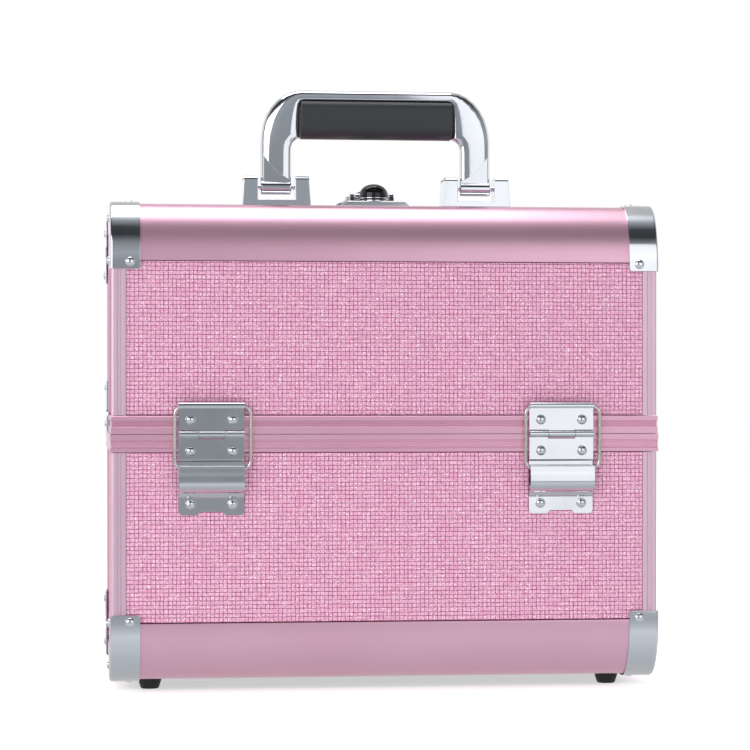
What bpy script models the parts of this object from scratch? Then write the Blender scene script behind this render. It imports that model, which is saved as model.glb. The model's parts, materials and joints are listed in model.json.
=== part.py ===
"""Makeup train case: a base box, two lids that swing outwards on wire-stayed hinges, and four
cantilever trays that the lids and a pair of arms carry out level.

Frame: metres, +Z up, origin on the floor under the middle of the case, front towards -Y,
left towards -X. Hinge geometry is written in (a, b): a runs inwards from a hinge pin and b upwards
from it, so the front and the rear share one description.
"""
import math

import bmesh
import bpy
from mathutils import Matrix, Vector

MM = 0.001

# --- driving dimensions -----------------------------------------------------------------
CASE_WIDTH = 320 * MM          # over the side frames
CASE_DEPTH = 210 * MM          # over the front and rear frames
BODY_HEIGHT = 278 * MM         # underside of the frame to the top of the lids
BELT_SHARE = 0.516             # of that height, up to the joint between base and lids
FOOT_HEIGHT = 7 * MM
GAP = 0.3 * MM                 # between pieces that touch

# Panels and their aluminium edging
PANEL = 4 * MM
PANEL_RECESS = 1 * MM          # panel face behind the frame
SIDE_PLATE = 3.5 * MM
PLATE_LAP = 1 * MM             # side plate let into its edging
POST = 8 * MM                  # width of the edging seen from the front
EDGE_BAND = 9 * MM             # width of the edging seen from the side
ROUND_HEIGHT = 34 * MM         # rounded rail, measured up the front
ROUND_DEPTH = 22 * MM          # rounded rail, measured back along the top
ROUND_WALL = 2 * MM
ROUND_STEPS = 8

# Belt and mouth extrusions
RIM_HEIGHT = 10.5 * MM
RIM_DEPTH = 7 * MM
RIM_PROUD = 0.8 * MM
SPLIT_RAIL = 6.5 * MM          # rail along the split between the lids, front to back
PARTING = 0.3 * MM             # gap between lids and base, and between the two lids

# Plates that join the split rail to the belt rail at each side of a lid
SPLIT_PLATE = 1.2 * MM         # in front of the rails
SPLIT_PLATE_BACK = 0.5 * MM    # let into the rails
SPLIT_PLATE_RISE = 32 * MM     # up the split rail
SPLIT_PLATE_REACH = 18 * MM    # along the belt rail
SPLIT_PLATE_FILLET = 5 * MM
SPLIT_RIVET_RADIUS = 2.2 * MM
SPLIT_RIVET_HEAD = 1.2 * MM
SPLIT_RIVETS = ((3.5 * MM, 27.5 * MM), (3.6 * MM, 5.4 * MM), (14 * MM, 5.4 * MM))

# Chrome corner caps
CAP_WALL = 0.9 * MM
CAP_WIDTH = 16.5 * MM
CAP_LEG = 39 * MM              # up the front
CAP_LEG_BACK = 34 * MM         # along the top or the bottom
CAP_FLANGE = 17 * MM           # width of the side flange
CAP_THROAT = 5                 # steps in the flange's inner fillet

# Rubber feet
FOOT_TOP_RADIUS = 7.3 * MM
FOOT_TIP_RADIUS = 5.4 * MM
FOOT_IN_FROM_SIDE = 23 * MM
FOOT_IN_FROM_FRONT = 37 * MM

# Hinges with wire stays
HINGE_FROM_SIDE = 57.5 * MM    # middle of a hinge
LEAF_WIDTH = 38 * MM
LEAF_PLATE = 1.2 * MM
PIN_PROUD = 2.5 * MM           # pin centre in front of the belt
PIN_RADIUS = 1.0 * MM
PIN_BORE = 1.35 * MM
KNUCKLE_RADIUS = 2.05 * MM
MIDDLE_KNUCKLE = 15.3 * MM
LEAF_TOP = 14.6 * MM
CURL_HEIGHT = 16.4 * MM        # wire's axis above the pin
CURL_RADIUS = 2.25 * MM
CURL_BORE = 1.25 * MM
STAY_WIRE_RADIUS = 0.85 * MM
STAY_MARGIN = 4.45 * MM        # wire's outside beyond the leaf at each side
STAY_REACH = 36.7 * MM         # top bar to bottom bar
STAY_LEAN = math.radians(2)    # bottom bar closer to the case than the top bar
STAY_BEND = 5 * MM
LEAF_END = 15.4 * MM           # below the pin
KEEPER_TOP = 19.8 * MM
KEEPER_END = 36.8 * MM
FLANGE_END = 46.8 * MM
KEEPER_BULGE = 4.1 * MM        # keeper's crown in front of the pin
KEEPER_FLOOR = 33.4 * MM       # where the bottom bar comes to rest, below the pin
KEEPER_PLATE = 1.0 * MM

# Cantilever trays and their arms
TRAY_HEADROOM = 66.7 * MM      # upper tray's pivots below the top of the lids
LOWER_SHARE = 0.5              # of the arm's length, up to the lower tray's pivots
ARM_A = 35 * MM                # arm's pivot on the base rim
ARM_B = -6 * MM
ARM_HALF_WIDTH = 5 * MM
ARM_PLATE = 1.5 * MM
ARM_BESIDE_TRAY = 1.8 * MM
TRAY_BESIDE_RIM = 6.3 * MM
TRAY_FRONT = 14.5 * MM         # trays' near wall, inwards from the hinge pin
TRAY_FROM_MIDDLE = 6.3 * MM    # trays' far wall from the split between the lids
STUD_FROM_WALL = 7.2 * MM      # arm's stud from that far wall
TRAY_SPACING = 8.15 * MM       # between the lower tray's rim and the upper tray's floor
TRAY_WALL = 1.8 * MM
TRAY_FILLET = 5 * MM
TRAY_CELLS = 4
UPPER_PIVOT_RISE = 10.5 * MM   # pivot above the underside of the tray
LOWER_PIVOT_RISE = 16 * MM
STUD_RADIUS = 2.0 * MM
STUD_HOLE = 2.3 * MM
STUD_HEAD = 3.2 * MM
BOSS_RADIUS = 4 * MM
ARM_PIN = 2.5 * MM

# Handle, in heights above the top of the lids
HANDLE_Y = -44 * MM
HANDLE_HALF_WIDTH = 69.9 * MM
LEG_WIDTH = 18.6 * MM
HANDLE_PIN_HEIGHT = 13.3 * MM
HANDLE_PIN_RADIUS = 1.5 * MM
HANDLE_PIN_BORE = 1.85 * MM
HANDLE_TOP = 72 * MM
HANDLE_THICKNESS = 9 * MM
HANDLE_CORNER_X = 24.3 * MM
HANDLE_CORNER_Z = 30.4 * MM
OPENING_TOP = 42.7 * MM
OPENING_FILLET = 5 * MM
GRIP_END = 5.5 * MM            # grip's end short of the leg
GRIP_TOP = 65 * MM
GRIP_THICKNESS = 20 * MM
GRIP_ROUND = 8 * MM
BRACKET_HALF_WIDTH = 21 * MM
BRACKET_HALF_DEPTH = 13 * MM
BRACKET_BASE = 6.8 * MM
EAR_IN = 11.2 * MM
EAR_OUT = 20 * MM
EAR_TOP = 19.8 * MM
EAR_ROUND = 6 * MM

# Latch, in heights above the top of the lids
LATCH_FRONT = -44.5 * MM
LATCH_REAR = -7.5 * MM
LATCH_HALF_WIDTH = 22.5 * MM
LATCH_HEIGHT = 6 * MM
LATCH_SLOPE = 5 * MM
LATCH_PIN_Y = -21.5 * MM
LATCH_PIN_HEIGHT = 9.7 * MM
LATCH_BARREL = 2.8 * MM
LATCH_PIN_RADIUS = 1.0 * MM
LATCH_BORE = 1.35 * MM
CHEEK_IN = 10.8 * MM
CHEEK_OUT = 13.6 * MM
FLAP_CLEAR = 0.3 * MM          # barrel's end short of the cheek
FLAP_UNDERSIDE = 7.5 * MM
FLAP_PLATE = 1.4 * MM
FLAP_TIP = 7.5 * MM            # beyond the split
COVER_START = -14.5 * MM       # raised part of the flap, front to back
COVER_HALF_WIDTH = 15.2 * MM
COVER_SHOULDER = 9.6 * MM
COVER_CROWN = 15.2 * MM
COVER_CROWN_HALF_WIDTH = 4 * MM
KNOB_Y = -34 * MM
KNOB_RADIUS = 8.9 * MM
KNOB_CROWN = 16.7 * MM
STRIKE_REAR = 24 * MM
STRIKE_HEIGHT = 8.9 * MM

# --- worked out from the sizes above -----------------------------------------------------
HALF_WIDTH = CASE_WIDTH / 2
HALF_DEPTH = CASE_DEPTH / 2
BOTTOM = FOOT_HEIGHT
TOP = FOOT_HEIGHT + BODY_HEIGHT
JOINT = FOOT_HEIGHT + BELT_SHARE * BODY_HEIGHT
RIM_TOP = JOINT - PARTING / 2                   # base rim's upper face
RIM_FOOT = JOINT - RIM_HEIGHT
LID_FOOT = JOINT + PARTING / 2                  # lid rims' lower face
LID_RIM_TOP = JOINT + RIM_HEIGHT
SPLIT_EDGE = PARTING / 2 + SPLIT_RAIL           # where the lids' panels stop short of the split
HINGE_Y = HALF_DEPTH + RIM_PROUD + PIN_PROUD    # pins' distance from the middle of the case
PANEL_FACE = HALF_DEPTH - PANEL_RECESS
TOP_FACE = TOP - PANEL_RECESS
SIDE_INNER = HALF_WIDTH - PANEL_RECESS - SIDE_PLATE
RIM_INNER = HALF_WIDTH + RIM_PROUD - RIM_DEPTH
HINGE_X = HALF_WIDTH - HINGE_FROM_SIDE
TRAY_HALF_WIDTH = RIM_INNER - TRAY_BESIDE_RIM
ARM_X = TRAY_HALF_WIDTH + ARM_BESIDE_TRAY       # inner face of the arm
TRAY_REAR = HINGE_Y - TRAY_FROM_MIDDLE
LINK_A = TRAY_REAR - STUD_FROM_WALL - ARM_A     # upper tray's pivots on the lid
LINK_B = TOP - JOINT - TRAY_HEADROOM
LOWER_LINK = (LINK_A * LOWER_SHARE, LINK_B * LOWER_SHARE)
TRAY_HEIGHT = LINK_B - LOWER_LINK[1] + LOWER_PIVOT_RISE - UPPER_PIVOT_RISE - TRAY_SPACING
HANDLE_LEG_X = HANDLE_HALF_WIDTH - LEG_WIDTH / 2
GRIP_HALF_LENGTH = HANDLE_HALF_WIDTH - LEG_WIDTH - GRIP_END

ENDS = {"front": -1, "rear": 1}
SIDES = {"left": -1, "right": 1}


# --- small tools -------------------------------------------------------------------------
def clear_scene():
    for obj in list(bpy.data.objects):
        bpy.data.objects.remove(obj, do_unlink=True)


def make_material(name, colour, roughness, metallic):
    material = bpy.data.materials.new(name)
    material.use_nodes = True
    shader = material.node_tree.nodes["Principled BSDF"]
    shader.inputs["Base Color"].default_value = (*colour, 1.0)
    shader.inputs["Roughness"].default_value = roughness
    shader.inputs["Metallic"].default_value = metallic
    material.diffuse_color = (*colour, 1.0)
    return material


def arc(centre, radii, start, end, steps):
    """Points on an ellipse arc, both ends included; angles in degrees."""
    points = []
    for step in range(steps + 1):
        angle = math.radians(start + (end - start) * step / steps)
        points.append((centre[0] + radii[0] * math.cos(angle), centre[1] + radii[1] * math.sin(angle)))
    return points


def circle(centre, radius, sides=16):
    return arc(centre, (radius, radius), 0, 360 - 360 / sides, sides - 1)


def prism(outline, axis, low, high):
    """A closed prism: a plane outline carried along axis. YZ outlines run along X, XZ along Y."""
    def place(u, v, along):
        if axis == "X":
            return (along, u, v)
        if axis == "Y":
            return (u, along, v)
        return (u, v, along)

    bm = bmesh.new()
    rings = [[bm.verts.new(place(u, v, along)) for u, v in outline] for along in (low, high)]
    bm.faces.new(rings[0])
    bm.faces.new(rings[1])
    count = len(outline)
    for i in range(count):
        j = (i + 1) % count
        bm.faces.new((rings[0][i], rings[0][j], rings[1][j], rings[1][i]))
    bmesh.ops.recalc_face_normals(bm, faces=bm.faces)
    return bm


def box(x, y, z):
    outline = [(x[0], y[0]), (x[1], y[0]), (x[1], y[1]), (x[0], y[1])]
    return prism(outline, "Z", z[0], z[1])


def turned(profile, centre, axis, steps):
    """A closed solid turned about an axis through centre; profile is (radius, along) pairs."""
    bm = bmesh.new()
    ends = []
    rings = []
    for radius, along in profile:
        if radius == 0:
            ends.append(bm.verts.new((0, 0, along)))
            rings.append([ends[-1]])
        else:
            rings.append([bm.verts.new((u, v, along)) for u, v in circle((0, 0), radius, steps)])
    for ring_a, ring_b in zip(rings, rings[1:]):
        for i in range(steps):
            j = (i + 1) % steps
            if len(ring_a) == 1:
                bm.faces.new((ring_a[0], ring_b[i], ring_b[j]))
            elif len(ring_b) == 1:
                bm.faces.new((ring_a[i], ring_a[j], ring_b[0]))
            else:
                bm.faces.new((ring_a[i], ring_a[j], ring_b[j], ring_b[i]))
    if len(rings[0]) > 1:
        bm.faces.new(rings[0])
    if len(rings[-1]) > 1:
        bm.faces.new(rings[-1])
    turn = {"X": Matrix.Rotation(math.radians(90), 4, "Y"),
            "Y": Matrix.Rotation(math.radians(-90), 4, "X"),
            "Z": Matrix.Identity(4)}[axis]
    bmesh.ops.transform(bm, matrix=Matrix.Translation(centre) @ turn, verts=bm.verts)
    bmesh.ops.recalc_face_normals(bm, faces=bm.faces)
    return bm


def hinge_point(end, a, b):
    """World (y, z) of a point given inwards and upwards from the hinge pin of one end."""
    return (end * (HINGE_Y - a), JOINT + b)


def across(end, outline):
    return [hinge_point(end, a, b) for a, b in outline]


class Pivots:
    """One empty on each joint's axis; a moving node hangs from its body's empty."""

    def __init__(self):
        self.empties = {}
        self.places = {}

    def add(self, body, place, parent=None):
        empty = bpy.data.objects.new(body + "_pivot", None)
        bpy.context.scene.collection.objects.link(empty)
        self.places[body] = Vector(place)
        self.empties[body] = empty
        if parent:
            empty.parent = self.empties[parent]
            empty.location = self.places[body] - self.places[parent]
        else:
            empty.location = self.places[body]


PIVOTS = Pivots()
MATERIALS = {}


def node(name, bm, material, body=None, smooth=False):
    """One sub-part, from a bmesh in world coordinates."""
    mesh = bpy.data.meshes.new(name)
    obj = bpy.data.objects.new(name, mesh)
    bpy.context.scene.collection.objects.link(obj)
    if body:
        place = PIVOTS.places[body]
        bmesh.ops.translate(bm, vec=-place, verts=bm.verts)
        obj.parent = PIVOTS.empties[body]
    bm.to_mesh(mesh)
    bm.free()
    mesh.materials.append(MATERIALS[material])
    if smooth:
        mesh.shade_smooth()
        mesh.set_sharp_from_angle(angle=math.radians(35))
    return obj


def shape_with(host, bm, operation):
    """Adds or removes a solid, kept as a hidden guide."""
    name = host.name + "." + operation.lower()
    mesh = bpy.data.meshes.new(name)
    bm.to_mesh(mesh)
    bm.free()
    guide = bpy.data.objects.new(name, mesh)
    bpy.context.scene.collection.objects.link(guide)
    guide.hide_render = True
    guide.display_type = "WIRE"
    modifier = host.modifiers.new(operation.lower(), "BOOLEAN")
    modifier.operation = operation
    modifier.solver = "EXACT"
    modifier.object = guide


def fuse(host, bm):
    shape_with(host, bm, "UNION")


def cut(host, bm):
    shape_with(host, bm, "DIFFERENCE")


# --- shared outlines ---------------------------------------------------------------------
def round_corner(end, upper, inset):
    """The rounded rail's outline in YZ, from the upright face to the level one."""
    centre_y = end * (HALF_DEPTH - ROUND_DEPTH)
    centre_z = TOP - ROUND_HEIGHT if upper else BOTTOM + ROUND_HEIGHT
    radii = (end * (ROUND_DEPTH - inset), (1 if upper else -1) * (ROUND_HEIGHT - inset))
    return arc((centre_y, centre_z), radii, 0, 90, ROUND_STEPS)


def base_edge(inset):
    """Round the side of the base from the front belt down, under and up to the rear belt."""
    start = RIM_FOOT - GAP
    front = [(-HALF_DEPTH + inset, start)] + round_corner(-1, False, inset)
    rear = round_corner(1, False, inset)[::-1] + [(HALF_DEPTH - inset, start)]
    return front + rear


def lid_edge(end, inset):
    """Round the side of one lid from the belt up and over to the split."""
    upright = [(end * (HALF_DEPTH - inset), LID_RIM_TOP + GAP)]
    return upright + round_corner(end, True, inset) + [(end * (SPLIT_EDGE + GAP), TOP - inset)]


def side_wall(name, band, middle, side, body=None):
    """A side panel in its edging: a thin plate inside a deeper band, both given in YZ."""
    outer = side * HALF_WIDTH
    depth = sorted((outer, outer - side * POST))
    wall = node(name, prism(band, "X", depth[0], depth[1]), "aluminium", body)
    plate = sorted((outer - side * PANEL_RECESS, outer - side * (PANEL_RECESS + SIDE_PLATE)))
    fuse(wall, prism(middle, "X", plate[0], plate[1]))


# --- base --------------------------------------------------------------------------------
def make_base():
    panel_x = HALF_WIDTH - POST - GAP
    for name, end in ENDS.items():
        face = end * PANEL_FACE
        back = end * (PANEL_FACE - PANEL)
        depth = (min(face, back), max(face, back))
        height = (BOTTOM + ROUND_HEIGHT + GAP, RIM_FOOT - GAP)
        node(f"base_{name}_panel", box((-panel_x, panel_x), depth, height), "weave_panel")
        rail = round_corner(end, False, 0) + round_corner(end, False, ROUND_WALL)[::-1]
        node(f"base_{name}_round_rail", prism(rail, "X", -panel_x, panel_x), "aluminium", smooth=True)
    floor_y = HALF_DEPTH - ROUND_DEPTH - GAP
    floor_z = (BOTTOM + PANEL_RECESS, BOTTOM + PANEL_RECESS + PANEL)
    node("base_floor_panel", box((-panel_x, panel_x), (-floor_y, floor_y), floor_z), "floor_panel")
    for name, side in SIDES.items():
        band = base_edge(0) + base_edge(EDGE_BAND)[::-1]
        side_wall(f"base_{name}_side", band, base_edge(EDGE_BAND - PLATE_LAP), side)

    outer_x = HALF_WIDTH + RIM_PROUD
    outer_y = HALF_DEPTH + RIM_PROUD
    rim = node("base_rim", box((-outer_x, outer_x), (-outer_y, outer_y), (RIM_FOOT, RIM_TOP)), "aluminium")
    inner_y = outer_y - RIM_DEPTH
    cut(rim, box((-RIM_INNER, RIM_INNER), (-inner_y, inner_y), (RIM_FOOT - PANEL, RIM_TOP + PANEL)))


def make_feet():
    profile = [(FOOT_TIP_RADIUS, 0), (FOOT_TOP_RADIUS, FOOT_HEIGHT - GAP)]
    for end_name, end in ENDS.items():
        for side_name, side in SIDES.items():
            place = (side * (HALF_WIDTH - FOOT_IN_FROM_SIDE), end * (HALF_DEPTH - FOOT_IN_FROM_FRONT), 0)
            foot = turned(profile, place, "Z", 24)
            node(f"foot_{end_name}_{side_name}", foot, "rubber", smooth=True)


# --- chrome corner caps ------------------------------------------------------------------
def cap_path(end, upper, offset, leg, leg_back):
    """Outline of a cap's skin in YZ, a given distance outside the frame."""
    level = TOP if upper else BOTTOM
    up = -1 if upper else 1
    start = (end * (HALF_DEPTH + offset), level + up * leg)
    finish = (end * (HALF_DEPTH - leg_back), level - up * offset)
    return [start] + round_corner(end, upper, -offset) + [finish]


def flange_outline(end, upper):
    """Outline of a cap's side flange: two legs with a fillet between them."""
    level = TOP if upper else BOTTOM
    up = -1 if upper else 1
    outer = cap_path(end, upper, GAP + CAP_WALL, CAP_LEG, CAP_LEG_BACK)
    throat = 6 * MM
    corner_y = HALF_DEPTH - CAP_FLANGE - throat
    corner_z = CAP_FLANGE + throat
    fillet = arc((corner_y, corner_z), (throat, -throat), 90, 0, CAP_THROAT)
    inner = [(end * (HALF_DEPTH - CAP_LEG_BACK), level + up * CAP_FLANGE)]
    inner += [(end * y, level + up * z) for y, z in fillet]
    inner += [(end * (HALF_DEPTH - CAP_FLANGE), level + up * CAP_LEG)]
    return outer + inner


def make_corner(name, end, side, upper, body=None):
    skin = cap_path(end, upper, GAP + CAP_WALL, CAP_LEG, CAP_LEG_BACK)
    skin += cap_path(end, upper, GAP, CAP_LEG, CAP_LEG_BACK)[::-1]
    outside = side * (HALF_WIDTH + GAP + CAP_WALL)
    inside = side * (HALF_WIDTH - CAP_WIDTH)
    cap = node(name, prism(skin, "X", min(inside, outside), max(inside, outside)), "chrome", body, smooth=True)
    flange = [side * (HALF_WIDTH + GAP), outside]
    fuse(cap, prism(flange_outline(end, upper), "X", min(flange), max(flange)))


# --- lids --------------------------------------------------------------------------------
def make_lid(name, end):
    body = name + "_lid"
    panel_x = HALF_WIDTH - POST - GAP
    face = end * PANEL_FACE
    back = end * (PANEL_FACE - PANEL)
    height = (LID_RIM_TOP + GAP, TOP - ROUND_HEIGHT - GAP)
    outer_panel = box((-panel_x, panel_x), (min(face, back), max(face, back)), height)
    node(f"{body}_{name}_panel", outer_panel, "weave_panel", body)
    y_range = sorted((end * (SPLIT_EDGE + GAP), end * (HALF_DEPTH - ROUND_DEPTH - GAP)))
    top_panel = box((-panel_x, panel_x), y_range, (TOP_FACE - PANEL, TOP_FACE))
    node(f"{body}_top_panel", top_panel, "weave_panel", body)
    rail = round_corner(end, True, 0) + round_corner(end, True, ROUND_WALL)[::-1]
    node(f"{body}_round_rail", prism(rail, "X", -panel_x, panel_x), "aluminium", body, smooth=True)
    band = lid_edge(end, 0) + lid_edge(end, EDGE_BAND)[::-1]
    middle = lid_edge(end, EDGE_BAND - PLATE_LAP) + [(end * (SPLIT_EDGE + GAP), LID_RIM_TOP + GAP)]
    for side_name, side in SIDES.items():
        side_wall(f"{body}_{side_name}_side", band, middle, side, body)
        make_corner(f"{body}_{side_name}_corner", end, side, True, body)
    make_mouth(f"{body}_mouth_frame", end, body)


def make_mouth(name, end, body):
    """The lid's mouth: belt rails on three sides, then up and over along the split."""
    outer_x = HALF_WIDTH + RIM_PROUD
    outer_y = HALF_DEPTH + RIM_PROUD
    low = LID_FOOT
    high = TOP + RIM_PROUD
    split = PARTING / 2
    outline = [(end * split, low), (end * outer_y, low), (end * outer_y, LID_RIM_TOP),
               (end * SPLIT_EDGE, LID_RIM_TOP), (end * SPLIT_EDGE, high), (end * split, high)]
    mouth = node(name, prism(outline, "X", -outer_x, outer_x), "aluminium", body)
    inner_y = outer_y - RIM_DEPTH
    hollow_y = sorted((end * (split - RIM_DEPTH), end * inner_y))
    cut(mouth, box((-RIM_INNER, RIM_INNER), hollow_y, (low - PANEL, high - RIM_DEPTH)))
    for side in SIDES.values():
        add_split_plate(mouth, end, side)


def add_split_plate(mouth, end, side):
    """An L-shaped plate over the joint of the split rail and the belt rail, with three rivets."""
    near = PARTING / 2 + GAP
    low = LID_FOOT + GAP
    belt = LID_RIM_TOP - GAP
    rail = SPLIT_EDGE - GAP
    fillet = SPLIT_PLATE_FILLET
    outline = [(near, JOINT + SPLIT_PLATE_RISE), (near, low), (SPLIT_PLATE_REACH, low), (SPLIT_PLATE_REACH, belt)]
    outline += arc((rail + fillet, belt + fillet), (fillet, fillet), 270, 180, 4)
    outline += [(rail, JOINT + SPLIT_PLATE_RISE)]
    face = HALF_WIDTH + RIM_PROUD + SPLIT_PLATE
    depth = sorted((side * (HALF_WIDTH + RIM_PROUD - SPLIT_PLATE_BACK), side * face))
    fuse(mouth, prism([(end * y, z) for y, z in outline], "X", depth[0], depth[1]))
    depth = sorted((side * (face - SPLIT_PLATE_BACK), side * (face + SPLIT_RIVET_HEAD)))
    for y, rise in SPLIT_RIVETS:
        fuse(mouth, prism(circle((end * y, JOINT + rise), SPLIT_RIVET_RADIUS, 12), "X", depth[0], depth[1]))


# --- hinges and wire stays ---------------------------------------------------------------
def base_leaf_outline():
    """Section of a base leaf in (a, b): leaf, step back to the panel, keeper and flange."""
    front = PIN_PROUD - GAP - LEAF_PLATE
    back = PIN_PROUD - GAP
    panel = PIN_PROUD + RIM_PROUD + PANEL_RECESS - GAP
    strip = panel - KEEPER_PLATE
    step = RIM_HEIGHT + 1.1 * MM
    crown = -KEEPER_BULGE
    plate = KEEPER_PLATE
    length = KEEPER_END - KEEPER_TOP
    outer = [(strip, -KEEPER_END), (crown + 3.9 * MM, -KEEPER_END + 0.17 * length),
             (crown + 2.1 * MM, -KEEPER_END + 0.32 * length), (crown + 0.7 * MM, -KEEPER_END + 0.49 * length),
             (crown, -KEEPER_END + 0.66 * length), (crown + 0.1 * MM, -KEEPER_END + 0.84 * length),
             (crown + 0.8 * MM, -KEEPER_TOP)]
    inner = [(crown + 0.8 * MM + plate, -KEEPER_TOP), (crown + 0.1 * MM + plate, -KEEPER_END + 0.84 * length),
             (crown + plate, -KEEPER_END + 0.66 * length), (crown + 0.7 * MM + plate, -KEEPER_END + 0.49 * length),
             (crown + 2.0 * MM + plate, -KEEPER_END + 0.34 * length), (crown + 4.5 * MM, -KEEPER_FLOOR)]
    return ([(front, 0), (back, 0), (back, -step), (panel, -step), (panel, -FLANGE_END), (strip, -FLANGE_END)]
            + outer + inner + [(strip, -KEEPER_FLOOR), (strip, -LEAF_END), (front, -LEAF_END)])


def make_hinge(end_name, end, side_name, side):
    centre = side * HINGE_X
    half = LEAF_WIDTH / 2
    middle = MIDDLE_KNUCKLE / 2
    pin = hinge_point(end, 0, 0)
    name = f"{end_name}_{side_name}_hinge"
    lid = end_name + "_lid"

    leaf = node(f"{name}_base_leaf", prism(across(end, base_leaf_outline()), "X", centre - half, centre + half),
                "hinge_steel")
    notch_y = sorted((pin[0] - end * KNUCKLE_RADIUS * 2, pin[0] + end * KNUCKLE_RADIUS * 2))
    notch = box((centre - middle - GAP, centre + middle + GAP), notch_y,
                (JOINT - 2 * KNUCKLE_RADIUS, JOINT + KNUCKLE_RADIUS))
    cut(leaf, notch)
    for way in (-1, 1):
        knuckle = sorted((centre + way * half, centre + way * (middle + GAP)))
        fuse(leaf, prism(circle(pin, KNUCKLE_RADIUS), "X", knuckle[0], knuckle[1]))
    reach = middle + 2 * GAP
    fuse(leaf, prism(circle(pin, PIN_RADIUS, 12), "X", centre - reach, centre + reach))

    front = PIN_PROUD - GAP - LEAF_PLATE
    back = PIN_PROUD - GAP
    clear = KNUCKLE_RADIUS + GAP
    plate = across(end, [(front, clear), (back, clear), (back, LEAF_TOP + 0.6 * MM), (front, LEAF_TOP + 0.6 * MM)])
    lid_leaf = node(f"{name}_lid_leaf", prism(plate, "X", centre - half, centre + half), "hinge_steel", lid)
    tongue = across(end, [(front, 0), (back, 0), (back, clear + MM), (front, clear + MM)])
    fuse(lid_leaf, prism(tongue, "X", centre - middle, centre + middle))
    fuse(lid_leaf, prism(circle(pin, KNUCKLE_RADIUS), "X", centre - middle, centre + middle))
    curl = hinge_point(end, 0, CURL_HEIGHT)
    fuse(lid_leaf, prism(circle(curl, CURL_RADIUS), "X", centre - half, centre + half))
    cut(lid_leaf, prism(circle(pin, PIN_BORE, 12), "X", centre - half, centre + half))
    cut(lid_leaf, prism(circle(curl, CURL_BORE, 12), "X", centre - 2 * half, centre + 2 * half))

    node(f"{end_name}_{side_name}_stay", stay_loop(end, centre), "hinge_steel", end_name + "_stays", smooth=True)


def stay_loop(end, centre):
    """A rounded rectangle of wire; its path lies in a plane that leans by STAY_LEAN."""
    half = LEAF_WIDTH / 2 + STAY_MARGIN - STAY_WIRE_RADIUS
    bend = STAY_BEND
    corners = [(half, 0, 0), (half, -STAY_REACH, 270), (-half, -STAY_REACH, 180), (-half, 0, 90)]
    path = []
    for x, drop, start in corners:
        middle = (x - math.copysign(bend, x), drop - bend if drop == 0 else drop + bend)
        path += arc(middle, (bend, bend), start + 90, start, 4)
    sides = 8
    bm = bmesh.new()
    rings = []
    count = len(path)
    for i in range(count):
        ahead = Vector(path[(i + 1) % count]) - Vector(path[i])
        behind = Vector(path[i]) - Vector(path[i - 1])
        along = (ahead.normalized() + behind.normalized()).normalized()
        outward = Vector((-along.y, along.x))
        ring = []
        for u, v in circle((0, 0), STAY_WIRE_RADIUS, sides):
            flat = Vector(path[i]) + outward * u
            # flat.y runs down the wire from the top bar, v stands out of the loop's plane
            a = -flat.y * math.sin(STAY_LEAN) + v * math.cos(STAY_LEAN)
            b = CURL_HEIGHT + flat.y * math.cos(STAY_LEAN) + v * math.sin(STAY_LEAN)
            y, z = hinge_point(end, a, b)
            ring.append(bm.verts.new((centre + flat.x, y, z)))
        rings.append(ring)
    for i in range(count):
        ring_a, ring_b = rings[i], rings[(i + 1) % count]
        for k in range(sides):
            m = (k + 1) % sides
            bm.faces.new((ring_a[k], ring_a[m], ring_b[m], ring_b[k]))
    bmesh.ops.recalc_face_normals(bm, faces=bm.faces)
    return bm


# --- trays and arms ----------------------------------------------------------------------
def tray_outline(floor, inset, headroom):
    """A tray's end view in (a, b), rounded along its two lower edges."""
    front, rear = TRAY_FRONT + inset, TRAY_REAR - inset
    low, high = floor + inset, floor + TRAY_HEIGHT + headroom
    fillet = TRAY_FILLET - inset
    points = [(front, high)]
    points += arc((front + fillet, low + fillet), (fillet, fillet), 180, 270, 4)
    points += arc((rear - fillet, low + fillet), (fillet, fillet), 270, 360, 4)
    return points + [(rear, high)]


def make_tray(end_name, end, level, link, rise):
    body = f"{end_name}_{level}_tray"
    floor = link[1] - rise
    outer = prism(across(end, tray_outline(floor, 0, 0)), "X", -TRAY_HALF_WIDTH, TRAY_HALF_WIDTH)
    tray = node(body, outer, "tray_plastic", body)
    cell = (2 * TRAY_HALF_WIDTH - (TRAY_CELLS + 1) * TRAY_WALL) / TRAY_CELLS
    hollow = across(end, tray_outline(floor, TRAY_WALL, TRAY_WALL))
    for index in range(TRAY_CELLS):
        start = -TRAY_HALF_WIDTH + TRAY_WALL + index * (cell + TRAY_WALL)
        cut(tray, prism(hollow, "X", start, start + cell))
    root = TRAY_HALF_WIDTH - TRAY_WALL / 2
    lid_pivot = hinge_point(end, link[0], link[1])
    arm_pivot = hinge_point(end, link[0] + ARM_A, link[1] + ARM_B)
    head = ARM_X + ARM_PLATE + GAP
    for side in SIDES.values():
        pieces = [(lid_pivot, BOSS_RADIUS, root, SIDE_INNER - GAP), (arm_pivot, STUD_RADIUS, root, head + GAP),
                  (arm_pivot, STUD_HEAD, head, head + 1.2 * MM)]
        for centre, radius, low, high in pieces:
            reach = sorted((side * low, side * high))
            fuse(tray, prism(circle(centre, radius, 12), "X", reach[0], reach[1]))


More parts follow.
